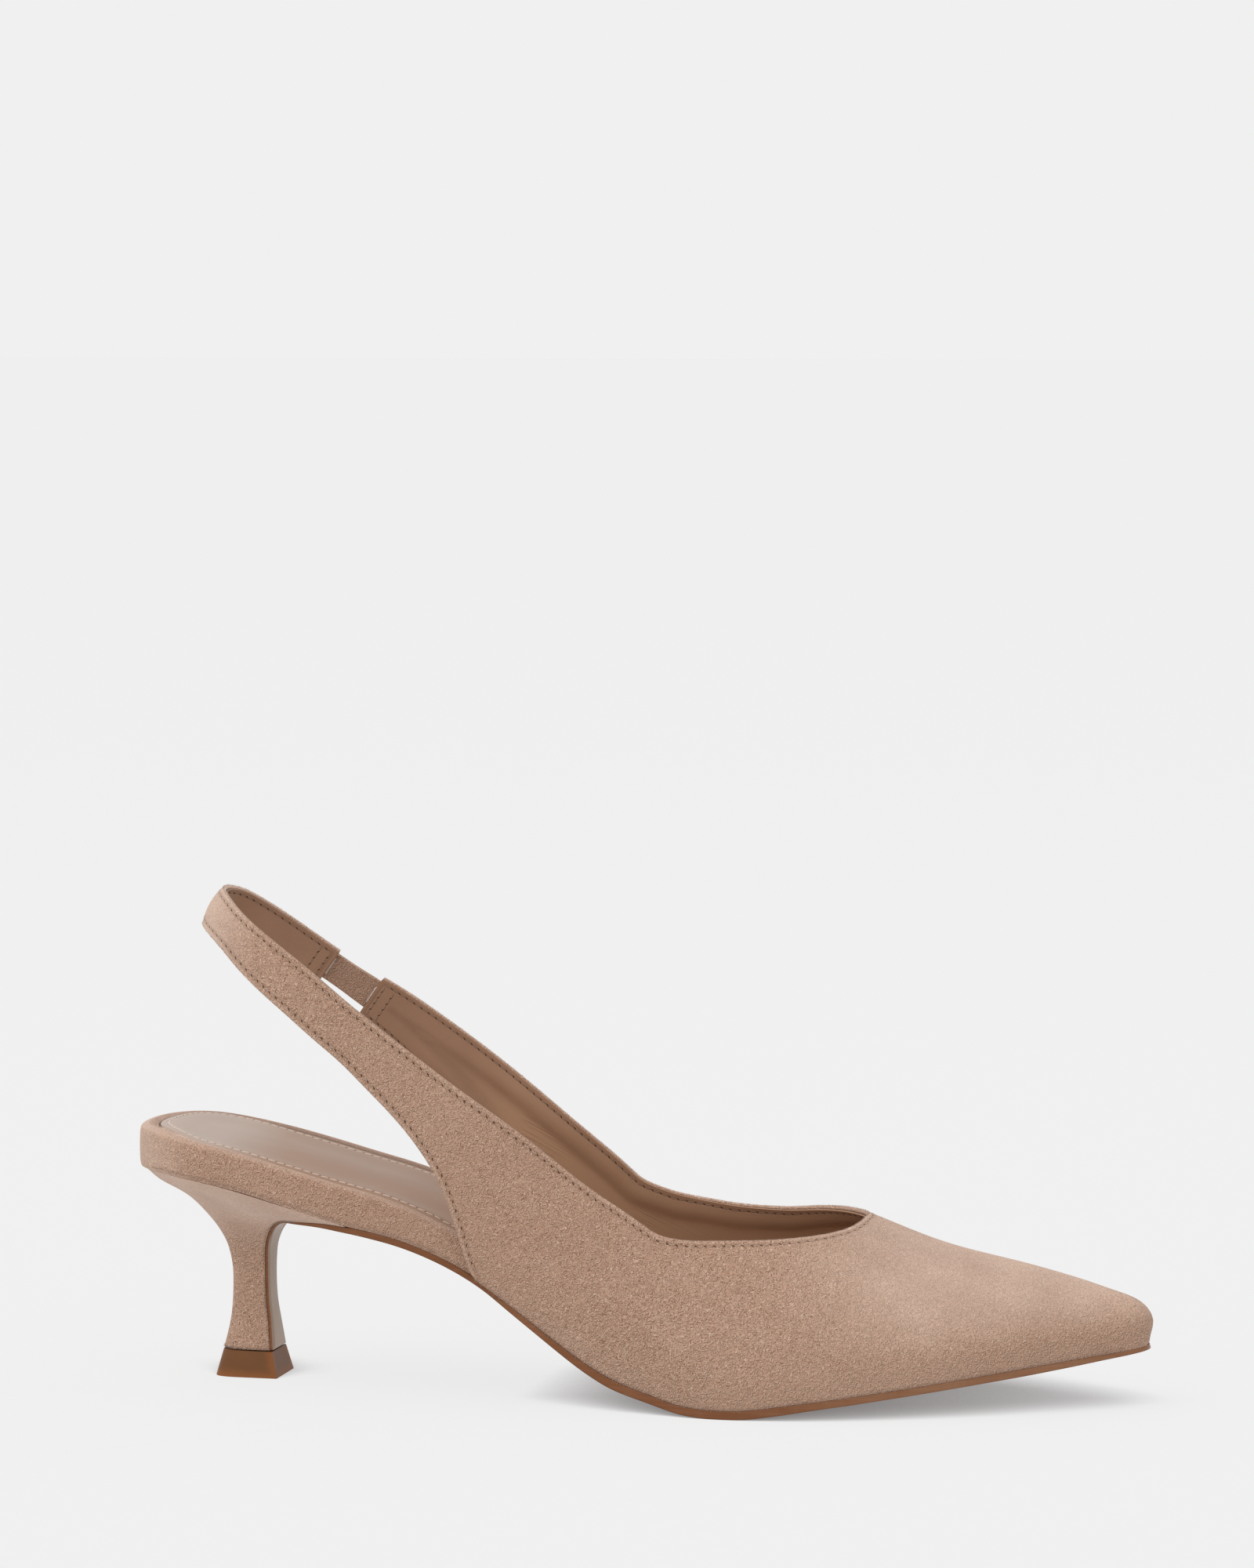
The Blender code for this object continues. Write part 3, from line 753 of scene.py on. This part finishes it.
def suede(name, sewn=False, lightness=0.0):
    """Short nap: curly fibres with lit tips over dark roots, painted light and shade on each strand;
    softer where it is brushed, and paler there, which is painted light.
    """
    finish = Finish(name, {"Roughness": 0.95, "Specular IOR Level": 0.1, "Sheen Weight": 0.22,
                           "Sheen Roughness": 0.5, "Sheen Tint": (1.0, 0.90, 0.82, 1.0)})
    where = finish.place()
    lit = finish.strands(where, STRANDS)
    shaded = finish.strands(finish.place(move=STRAND_SHADE), STRANDS)
    under = finish.strands(finish.place(turn=(0.9, 0.4, 0.2)), UNDER_STRANDS)
    nap = lit * 0.8 - shaded * 0.7 + under * 0.2 - 0.15
    stroke = finish.noise(finish.place((40.0, 130.0, 130.0), (0.0, -0.4, 0.0)), 1.0, 3.0)
    smudge = finish.noise(where, 18.0, 3.0)
    # Brushing smooths the nap; the paleness that goes with it is painted light, and below nothing it is
    # painted shade
    brushed = finish.attribute("brushed")
    blot = finish.noise(where, 62.0, 2.0)
    patchy = stroke * 0.14 + smudge * (0.3 + brushed * 0.4) + blot * brushed * 0.75
    tone = 0.545 + lightness + nap * (0.94 - brushed * 0.5) + patchy + brushed * 0.07
    height = nap * (1.0 - brushed * 0.55)
    if sewn:
        # Painted shade in the sunk seam and a painted highlight along the folded edge
        edge = finish.attribute("edge_mm")
        shaded_groove = 1.0 - finish.step(abs(edge - SUEDE_SEAM / MM), 0.1, 0.8)
        painted_edge_light = 1.0 - finish.step(edge, 0.2, 1.4)
        tone = tone - shaded_groove * 0.18 + painted_edge_light * 0.16
        height = height - shaded_groove * 1.2
    colour = finish.ramp(tone.held(), NAP_TONES)
    colour = finish.mix(brushed * 0.34, colour, (0.60, 0.475, 0.405, 1.0))
    return finish.wear(colour, None, finish.bump(height, 0.6, 0.35 * MM))


def lining_leather():
    """Smooth thin leather with patches of fine slanting creases and a sunk seam by its edge; painted
    shade in the seam, along the edge, in a band below the seam and in a line under the roll, and
    painted light deeper inside the shoe.
    """
    finish = Finish("lining_leather", {"Specular IOR Level": 0.4})
    where = finish.place()
    patches = finish.step(finish.noise(where, 70.0, 3.0), -0.06, 0.18)
    slanting = finish.place((70.0, 70.0, 2100.0), (0.0, -0.47, 0.0))
    creases = finish.noise(slanting, 1.0, 2.0, 0.5, 0.3)
    grain = finish.noise(where, 1500.0, 2.0)
    cloud = finish.noise(where, 45.0, 3.0)
    edge = finish.attribute("edge_mm")
    # Painted shade: the seam, the edge, the line under the roll and the band below the seam; painted
    # light where the lining lies deeper inside
    shaded_groove = 1.0 - finish.step(abs(edge - LINING_SEAM / MM), 0.1, 0.5)
    painted_edge_light = 1.0 - finish.step(edge, 0.1, 0.6)
    roll = 1.0 - finish.step(abs(edge - ROLL_SHADOW_LINE / MM), 0.3, 2.4)
    creases = creases * finish.step(edge, 4.0, 9.0) * patches
    tone = 0.5 + creases * 1.3 + cloud * 0.45 + grain * 0.12 - shaded_groove * 0.16 - painted_edge_light * 0.2
    shaded_band = 1.0 - finish.step(edge, 5.0, 8.0)
    tone = tone + finish.attribute("inward") * (0.56 - shaded_band * 0.36) - roll * 0.15
    colour = finish.ramp(tone.held(), [
        (0.0, (0.170, 0.078, 0.040)),
        (0.5, (0.330, 0.182, 0.108)),
        (1.0, (0.470, 0.275, 0.165)),
    ])
    height = creases * 1.2 + grain * 0.08 - shaded_groove * 0.5
    rough = 0.5 + grain * 0.2 + cloud * 0.15
    return finish.wear(colour, rough, finish.bump(height, 0.6, 0.25 * MM))


def sock_leather():
    """Satin sock of smooth leather, clouded and rubbed, with a very fine grain, paler at the seat and
    along its inner side as a painted reflection, and painted shade in its sunk seam.
    """
    finish = Finish("sock_leather", {"Specular IOR Level": 0.16})
    where = finish.place()
    cloud = finish.noise(where, 34.0, 4.0, 0.55)
    grain = finish.noise(where, 1400.0, 2.0)
    rub = finish.noise(finish.place((30.0, 160.0, 160.0)), 1.0, 4.0)
    shaded_groove = 1.0 - finish.step(abs(finish.attribute("edge_mm") - SOCK_SEAM / MM), 0.1, 0.7)
    tone = 0.5 + cloud * 0.5 + rub * 0.25 + grain * 0.18 - shaded_groove * 0.2
    colour = finish.ramp(tone.held(), [
        (0.0, (0.228, 0.128, 0.080)),
        (0.5, (0.328, 0.203, 0.138)),
        (1.0, (0.430, 0.290, 0.212)),
    ])
    # seat: painted reflection, paler at the seat and along the inner side
    colour = finish.mix(finish.attribute("seat") * 0.5, colour, (0.530, 0.470, 0.430, 1.0))
    rough = 0.42 + cloud * 0.16 + grain * 0.10
    return finish.wear(colour, rough, finish.bump(grain * 0.4 + cloud * 0.5, 0.25, 0.12 * MM))


def sole_leather():
    """Satin brown sole, faintly streaked and scratched, lighter at the toe and on the flap's face."""
    finish = Finish("sole_leather", {"Specular IOR Level": 0.2})
    where = finish.place()
    streak = finish.noise(finish.place((60.0, 60.0, 1500.0)), 1.0, 3.0)
    cloud = finish.noise(where, 60.0, 3.0)
    scratch = finish.noise(finish.place((70.0, 1100.0, 70.0), (0.0, 0.0, 0.3)), 1.0, 4.0, 0.6)
    tone = 0.5 + streak * 0.35 + cloud * 0.3 + scratch * 0.15 + finish.attribute("toe") * 0.25
    colour = finish.ramp(tone.held(), [
        (0.0, (0.110, 0.040, 0.014)),
        (0.5, (0.190, 0.072, 0.027)),
        (1.0, (0.330, 0.170, 0.095)),
    ])
    colour = finish.mix(finish.attribute("facing"), colour, (0.400, 0.300, 0.232, 1.0))
    rough = 0.38 + cloud * 0.2 + scratch * 0.25
    return finish.wear(colour, rough, finish.bump(scratch + streak * 0.4, 0.15, 0.1 * MM))


def lift_rubber():
    """Moulded rubber of the top lift: dense brown, satin, more orange along its thin edges as a painted
    highlight.
    """
    finish = Finish("lift_rubber", {"Specular IOR Level": 0.12})
    where = finish.place()
    cloud = finish.noise(where, 150.0, 3.0)
    grain = finish.noise(where, 1800.0, 2.0)
    # Painted highlight: more orange near the edges
    edge_highlight = 1.0 - finish.step(finish.attribute("edge_mm"), 0.1, 2.6)
    body = finish.ramp((0.5 + cloud * 0.8 + grain * 0.15).held(), [
        (0.0, (0.125, 0.052, 0.020)),
        (0.5, (0.165, 0.071, 0.029)),
        (1.0, (0.205, 0.092, 0.040)),
    ])
    colour = finish.mix(edge_highlight * 0.8, body, (0.255, 0.092, 0.030, 1.0))
    rough = 0.40 + cloud * 0.15 + grain * 0.12
    return finish.wear(colour, rough, finish.bump(grain, 0.12, 0.1 * MM))


def twisted_thread(name, colour):
    """Sewing thread and loose fibres: close slanting strands."""
    finish = Finish(name, {"Sheen Weight": 0.2})
    twist = finish.noise(finish.place((2600.0, 2600.0, 5200.0), (0.4, 0.6, 0.0)), 1.0, 2.0)
    dark = tuple(0.62 * c for c in colour)
    shade = finish.ramp((0.5 + twist * 1.1).held(), [(0.15, dark), (0.75, colour)])
    return finish.wear(shade, 0.7 + twist * 0.2, finish.bump(twist, 0.4, 0.08 * MM))


def painted_hole_shade():
    """Painted shade inside a needle hole, worn by a dark pod on the surface."""
    finish = Finish("needle_hole_shade", {"Roughness": 0.95, "Specular IOR Level": 0.1})
    speck = finish.noise(finish.place(), 3000.0)
    colour = finish.ramp((0.5 + speck).held(), [
        (0.2, (0.040, 0.020, 0.011)),
        (0.8, (0.115, 0.060, 0.036)),
    ])
    return finish.wear(colour)


def tape_white():
    """Cut edge of the white tape that the elastic is sewn in with."""
    finish = Finish("tape", {"Roughness": 0.9})
    weave = finish.noise(finish.place((1200.0, 1200.0, 2600.0)), 1.0, 3.0)
    colour = finish.ramp((0.5 + weave).held(), [
        (0.2, (0.50, 0.44, 0.39)),
        (0.8, (0.82, 0.78, 0.74)),
    ])
    return finish.wear(colour, None, finish.bump(weave, 0.4, 0.1 * MM))


# Pieces

def feather_line(x):
    """How far the line between suede and sole lies over that of the solids: high behind the ball."""
    x = x / MM
    return FEATHER_UP * bell(x - BALL_ROLL, BALL_ROLL_HALF) - FEATHER_DOWN * rise(x, *FEATHER_FALLS)


def tread_line(x):
    """How far the sole's lower edge lies over that of the solids: rolled up behind the ball."""
    x = x / MM
    toe = TREAD_TIP_UP * rise(x, *TREAD_TIP)
    toe -= TREAD_DOWN * rise(x, *TREAD_FALLS) * rise(x, *TREAD_ENDS)
    return TREAD_UP * bell(x - BALL_ROLL, BALL_ROLL_HALF) + toe


def make_upper(finishes):
    """Suede: the outer side of the wall as a sheet with its own thickness, sewn along its edges."""
    outer = take("upper", "upper_suede")
    keep_side(outer, OUTSIDE)
    lines = edge_lines(outer)
    foot = point_tree(lines["feather"])
    places, normals = places_of(outer)
    at_foot = np.array([foot.find(place)[2] < SAME_POINT for place in places])
    settle(outer, down=at_foot * (FOOT_DRAWN - feather_line(places[:, 0])))
    lines["feather"][:, 2] += feather_line(lines["feather"][:, 0])
    sheet = surface_of(outer)
    work(outer, "SOLIDIFY", thickness=SUEDE, offset=-1.0, use_even_offset=True)
    round_edges(outer, SUEDE_ROUND)
    smooth(outer, 2)
    edge_distance(outer, sewn_edges(lines))
    places, normals = places_of(outer)
    along_shoe = places[:, 0] / MM
    # Painted light: paler on the toes where they look up and round the loop; painted shade low on the
    # wall by the arch
    over_toes = rise(along_shoe, *OVER_TOES) * rise(normals[:, 2], 0.1, 0.75)
    over_toes *= 0.5 + 0.5 * rise(along_shoe, *BEFORE_TIP)
    round_loop = rise(along_shoe, *ROUND_LOOP)
    by_arch = rise(along_shoe, *ALONG_ARCH) * rise(places[:, 2] / MM, *LOW_ON_WALL)
    brushed = np.maximum(BRUSHED_AND_PAINTED_LIGHT["toes"] * over_toes, BRUSHED_AND_PAINTED_LIGHT["loop"] * round_loop)
    write(outer, "brushed", brushed + BRUSHED_AND_PAINTED_LIGHT["arch"] * by_arch)
    dress(outer, finishes["upper_suede"], "upper")
    sew_upper("upper", lines, sheet, outer, SUEDE_SEAM, finishes["thread_taupe"], finishes)

    face = surface_of(outer)
    feather = lines["feather"][lines["feather"][:, 0] < TOE_TIP]
    loose_nap("upper_nap", [
        fuzz([lines["topline"]], face, *TOPLINE_FUZZ),
        fuzz([feather], face, *FEATHER_FUZZ),
        fuzz(lines["lower"], face, *WING_FUZZ),
    ], finishes)


def make_lining(finishes):
    """Lining: the inner side of the wall, rolled a little below its seam. Gives the tab ends."""
    inner = take("upper", "lining")
    keep_side(inner, INSIDE)
    lines = edge_lines(inner)
    sheet = surface_of(inner)
    work(inner, "SOLIDIFY", thickness=LINING, offset=-1.0, use_even_offset=True)
    round_edges(inner, LINING_ROUND)
    smooth(inner, 2)
    far = edge_distance(inner, sewn_edges(lines))
    places, normals = places_of(inner)
    press(inner, -ROLL_UP * bell(far - ROLL_MIDDLE, ROLL_HALF) * rise(places[:, 2] / MM, *ROLL_BELOW))
    along_shoe = places[:, 0] / MM
    # inward: painted light, paler towards the toe where the lining lies deep in shade
    write(inner, "inward", rise(along_shoe, *INTO_VAMP) + 0.35 * rise(along_shoe, *INTO_TOE))
    dress(inner, finishes["lining_leather"])
    sew_upper("lining", lines, sheet, inner, LINING_SEAM, finishes["thread_brown"], finishes)
    return lines["tabs"]


def sewn_edges(lines):
    """The edges of the upper that have stitches beside them."""
    return [lines["topline"], *lines["lower"], *lines["tabs"]]


def sew(name, rows, thread_size, thread, hole_shade):
    """A set of rows as two joined meshes: the stitches, and dark pods of painted shade for the needle
    holes between them.
    """
    stitches = [place for row in rows for place in slanted(row, THREAD_SLANT)]
    hole_shades = [place for row in rows for place in slanted(between(row), HOLE_SLANT)]
    dress(strew(name + "_stitches", pod(thread_size), stitches), thread)
    dress(strew(name + "_holes", pod(NEEDLE_HOLE), hole_shades), hole_shade)


def sew_upper(name, lines, sheet, piece, inset, thread, finishes):
    """Rows along both edges of one layer of the upper, and two across each tab end."""
    face = surface_of(piece)
    edges = [lines["topline"], *lines["lower"]]
    rows = [seam(line, sheet, face, inset, SEAM_PITCH, inset) for line in edges]
    for line in lines["tabs"]:
        rows += [seam(line, sheet, face, row, TAB_PITCH, inset) for row in TAB_ROWS]
    sew(name, rows, THREAD, thread, finishes["needle_hole_shade"])


def loose_nap(name, edges, finishes):
    """Fibres that stand off the cut and folded edges of the suede, as one mesh."""
    places = [place for some, sizes in edges for place in some]
    sizes = np.concatenate([sizes for some, sizes in edges])
    dress(strew(name, hair(*FIBRE), places, sizes), finishes["nap"])


def rear_rim(x):
    """How far the sock's end and its place in the footbed are moved in from the back of the seat."""
    return REAR_RIM * rise(x / MM, *SOCK_END)


def reach_to(surface, places):
    """How far each of these places lies from a surface."""
    return np.array([surface.find_nearest(Vector(place))[3] for place in places])


def make_footbed(finishes):
    """Covered footbed; its lower edge is drawn down and a little out over the sole and the heel."""
    piece = take("footbed", "footbed_suede")
    lower = sharp_lines(piece, FOOTBED_EDGE, lambda middle, normal: (
        -0.55 < normal.z < -0.1 and SEAT_BACK < middle[0] < WING_FOOT))
    sock = surface_of(frame["nodes"]["insole"])
    places, normals = places_of(piece)
    under = normals[:, 2] < DOWNWARD
    outward = (FOOTBED_OUT - FOOTBED_BACK_IN * rise(places[:, 0] / MM, *SEAT_END)) * under
    places += normals * (1.0, 1.0, 0.0) * outward[:, None]
    places[:, 2] -= under * DRAWN
    places[:, 0] += (reach_to(sock, places) < SOCK_REACH) * rear_rim(places[:, 0])
    put_places(piece, places)
    firm(piece, CRISP["footbed"])
    smooth(piece, 2)
    places, normals = places_of(piece)
    # Painted light: paler on faces that look up, at the seat, and on the rim's wall beside the sock,
    # which lies in shade
    rim = rise(reach_to(sock, places), *RIM_REACH) * (places[:, 0] > SEAT_RIM_FROM)
    brushed = BRUSHED_AND_PAINTED_LIGHT["seat"] * rise(places[:, 0] / MM, *SEAT_END)
    brushed += BRUSHED_AND_PAINTED_LIGHT["top"] * rise(normals[:, 2], 0.3, 0.8)
    write(piece, "brushed", np.maximum(brushed, BRUSHED_AND_PAINTED_LIGHT["rim"] * rim))
    up = Vector((0.0, 0.0, 1.0))
    covered = np.array([sock.ray_cast(Vector(place), up, SOCK_ROOM)[0] is not None for place in places])
    settle(piece, down=covered * (normals[:, 2] > 0.7) * SOCK_ROOM)
    dress(piece, finishes["footbed_suede"], "footbed")
    loose_nap("footbed_nap", [fuzz(lower, surface_of(piece), *FOOTBED_FUZZ)], finishes)


def make_sock(finishes):
    """Sock let into the footbed: a little hollow, lower along its inner side, sewn round its edge."""
    top = take("insole", "sock_top")
    keep_side(top, OVER_SOCK, SOCK_TOP_EDGE)
    settle(top, ahead=rear_rim(places_of(top)[0][:, 0]))
    sheet = surface_of(top)
    edge = rim_points(top)
    edge = np.concatenate((edge, edge[:1]))
    bpy.data.objects.remove(top)

    piece = take("insole", "sock")
    settle(piece, ahead=rear_rim(places_of(piece)[0][:, 0]))
    shift(piece, lambda v: v.normal.z < -0.3, (0.0, 0.0, -SOCK_ROOM))
    for face in piece.data.polygons:
        face.select = face.normal.z > 0.9
    with editing(piece):
        for ring in range(SOCK_RINGS):
            bpy.ops.mesh.inset(thickness=SOCK_RING)
        bpy.ops.mesh.select_all(action="DESELECT")
    firm(piece, CRISP["sock"])
    smooth(piece, 3)
    far = edge_distance(piece, [edge])
    places, normals = places_of(piece)
    along_shoe = places[:, 0] / MM
    across = places[:, 1] / MM
    sunk = SOCK_GROOVE * bell(far - SOCK_SEAM, SOCK_GROOVE_HALF)
    sunk += SOCK_EDGE * (1.0 - rise(far, 0.0, SOCK_EDGE_ROLL))
    sunk += SOCK_CUP * rise(far, *SOCK_CUP_FROM)
    press(piece, sunk * (normals[:, 2] > 0.5))
    lean = rise(across, *LEAN_SIDE) * rise(along_shoe, *LEAN_FROM) * (normals[:, 2] > 0.2)
    settle(piece, down=SOCK_LEAN * lean)
    # Painted reflection: paler towards the seat and along the inner side
    inner_side_sheen = rise(across, *INNER_SIDE) * rise(along_shoe, *SOCK_WAIST)
    write(piece, "seat", np.maximum(rise(along_shoe, *SOCK_BACK), 0.35 * inner_side_sheen))
    row = seam(edge, sheet, surface_of(piece), SOCK_SEAM, SOCK_PITCH)
    sew("sock", [row], SOCK_THREAD, finishes["thread_cream"], finishes["needle_hole_shade"])
    dress(piece, finishes["sock_leather"], "insole")


def make_heel(finishes):
    """Covered heel; its cover is drawn over the gaps to the footbed, the flap and the top lift."""
    piece = take("heel", "heel_suede")
    edges = sharp_lines(piece, CRISP["heel"], lambda middle, normal: (
        middle[2] < HEEL_EDGES_TOP and normal.z < 0.2))
    places, normals = places_of(piece)
    height = places[:, 2]
    breast = (normals[:, 0] > 0.5) & (height < BREAST_TOP)
    foot = (normals[:, 2] < DOWNWARD) & (height < HEEL_FOOT)
    wedge = (normals[:, 2] < DOWNWARD) & (height > BREAST_TOP)
    press(piece, -HEEL_COVER * (breast | foot) - WEDGE_COVER * wedge)
    firm(piece, CRISP["heel"])
    smooth(piece, 2)
    places, normals = places_of(piece)
    # Painted light: the heel's top, in shade under the footbed, painted paler
    write(piece, "brushed", BRUSHED_AND_PAINTED_LIGHT["heel"] * rise(places[:, 2] / MM, *HEEL_TOP))
    dress(piece, finishes["heel_suede"], "heel")
    loose_nap("heel_nap", [fuzz(edges, surface_of(piece), *HEEL_FUZZ)], finishes)


def make_outsole(finishes):
    """Sole and breast flap; the flap's face is a paler leather, drawn down to the top lift."""
    piece = take("outsole", "outsole_leather")
    shift(piece, lambda v: v.co.x < FLAP_FROM and v.co.z < HEEL_FOOT, (0.0, 0.0, -DRAWN))
    shift(piece, lambda v: v.normal.z > 0.4 and v.co.x < WING_FOOT, (0.0, 0.0, SOLE_UP))
    places, normals = places_of(piece)
    x = places[:, 0]
    up = np.where(normals[:, 2] > 0.0, feather_line(x), tread_line(x)) * (x > WING_FOOT)
    settle(piece, down=-up)
    firm(piece, CRISP["outsole"])
    smooth(piece, 2)
    places, normals = places_of(piece)
    write(piece, "facing", rise(normals[:, 0], 0.4, 0.7) * (places[:, 0] < HEEL_FRONT))
    write(piece, "toe", rise(places[:, 0] / MM, *SOLE_TOE))
    dress(piece, finishes["sole_leather"], "outsole")


def make_top_lift(finishes):
    """Moulded block with softly rounded edges."""
    piece = take("top_lift", "top_lift_rubber")
    edges = sharp_lines(piece, LIFT_EDGE, lambda middle, normal: normal.z < 0.4)
    round_edges(piece, LIFT_ROUND, LIFT_EDGE, 3)
    smooth(piece, 2)
    edge_distance(piece, edges)
    dress(piece, finishes["lift_rubber"], "top_lift")


def make_elastic(tabs, finishes):
    """Band that runs on inside both tabs, with the edge of a white tape along each tab end."""
    piece = take("elastic", "elastic_band")
    ends = [line.mean(axis=0) for line in tabs]
    way = Vector(ends[1] - ends[0]).normalized()
    reach = [v.co.dot(way) for v in piece.data.vertices]
    first, last = min(reach), max(reach)
    shift(piece, lambda v: v.co.dot(way) < first + ELASTIC_END, -way * ELASTIC_HELD)
    shift(piece, lambda v: v.co.dot(way) > last - ELASTIC_END, way * ELASTIC_HELD)
    round_edges(piece, ELASTIC_ROUND)
    smooth(piece, 2)
    write(piece, "brushed", np.zeros(len(piece.data.vertices)))
    dress(piece, finishes["elastic_suede"], "elastic")

    face = surface_of(piece)
    for name, line, out in (("rear", tabs[0], way), ("front", tabs[1], -way)):
        across = Vector(line[-1] - line[0]).normalized()
        middle = Vector(line.mean(axis=0)) + out * TAPE_OUT
        spot, normal, *rest = face.find_nearest(middle)
        bpy.ops.mesh.primitive_cube_add(size=1.0)
        tape = bpy.context.object
        tape.name = name + "_tape"
        turn = Matrix((out, across, out.cross(across))).transposed().to_4x4()
        tape.matrix_world = Matrix.Translation(spot) @ turn @ Matrix.Diagonal((*TAPE, 1.0))
        pick(tape)
        bpy.ops.object.transform_apply(location=True, rotation=True, scale=True)
        round_edges(tape, TAPE_ROUND)
        smooth(tape, 2)
        dress(tape, finishes["tape"])


# Stage

def make_stage():
    """Pale floor that glows though it is no lamp, with painted shadow: less glow close under the shoe;
    with even light, a sun and a soft box.
    """
    bpy.ops.mesh.primitive_plane_add(size=FLOOR_SIZE)
    floor = bpy.context.object
    floor.name = "floor"
    finish = Finish("glowing_floor_painted_shadow", {"Roughness": 0.9, "Specular IOR Level": 0.0,
                                    "Emission Strength": 1.0})
    grain = finish.noise(finish.place(), 300.0)
    paper = finish.ramp((0.5 + grain).held(), [
        (0.0, (0.065, 0.065, 0.065)),
        (1.0, (0.075, 0.075, 0.075)),
    ])
    towards_light = finish.node("CombineXYZ", None, dict(zip("XYZ", FLOOR_LIGHT)))
    # Painted shadow: the glow drops where the shoe hides the floor from the side of the light
    open_to_light = finish.node("AmbientOcclusion", {"samples": 16},
                       {"Distance": PAINTED_SHADOW_REACH, "Normal": towards_light}, out="AO")
    glow_and_painted_shadow = finish.ramp(open_to_light, [
        (0.26, (0.09, 0.082, 0.080)),
        (0.58, (0.40, 0.39, 0.39)),
        (0.88, (0.788, 0.788, 0.788)),
    ])
    floor.data.materials.append(finish.wear(paper, glow_and_painted_shadow=glow_and_painted_shadow))

    world = bpy.data.worlds.new("studio")
    world.use_nodes = True
    world.node_tree.nodes["Background"].inputs["Color"].default_value = STUDIO_GREY
    bpy.context.scene.world = world

    bpy.ops.object.light_add(type="SUN", rotation=SUN_TURN)
    sun = bpy.context.object
    sun.data.energy = SUN_POWER
    sun.data.angle = SUN_SPREAD
    bpy.ops.object.light_add(type="AREA", location=BOX_PLACE)
    box = bpy.context.object
    box.data.size = BOX_SIZE
    box.data.energy = BOX_POWER


def make_camera():
    """Camera that looks along the photograph's line of sight."""
    turn = (math.cos(CAMERA_TURN), math.sin(CAMERA_TURN))
    look = Vector((-turn[1] * math.cos(CAMERA_PITCH), turn[0] * math.cos(CAMERA_PITCH),
                   -math.sin(CAMERA_PITCH)))
    camera = bpy.data.objects.new("camera", bpy.data.cameras.new("camera"))
    bpy.context.scene.collection.objects.link(camera)
    camera.location = CAMERA_TARGET - look * CAMERA_DISTANCE
    camera.rotation_euler = look.to_track_quat("-Z", "Y").to_euler()
    camera.data.lens = CAMERA_LENS
    camera.data.sensor_width = CAMERA_SENSOR
    bpy.context.scene.camera = camera


# Making

for old in list(bpy.data.objects):
    bpy.data.objects.remove(old)
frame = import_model()
bpy.context.scene.view_settings.view_transform = "Standard"

finishes = {
    "upper_suede": suede("upper_suede", sewn=True),
    "footbed_suede": suede("footbed_suede", lightness=-0.03),
    "heel_suede": suede("heel_suede", lightness=0.03),
    "elastic_suede": suede("elastic_suede", lightness=-0.06),
    "lining_leather": lining_leather(),
    "sock_leather": sock_leather(),
    "sole_leather": sole_leather(),
    "lift_rubber": lift_rubber(),
    "thread_taupe": twisted_thread("thread_taupe", (0.45, 0.30, 0.215)),
    "thread_brown": twisted_thread("thread_brown", (0.30, 0.17, 0.11)),
    "thread_cream": twisted_thread("thread_cream", (0.74, 0.59, 0.49)),
    "nap": twisted_thread("nap", (0.56, 0.39, 0.30)),
    "needle_hole_shade": painted_hole_shade(),
    "tape": tape_white(),
}
make_upper(finishes)
tabs = make_lining(finishes)
make_footbed(finishes)
make_sock(finishes)
make_heel(finishes)
make_outsole(finishes)
make_top_lift(finishes)
make_elastic(tabs, finishes)
make_stage()
make_camera()
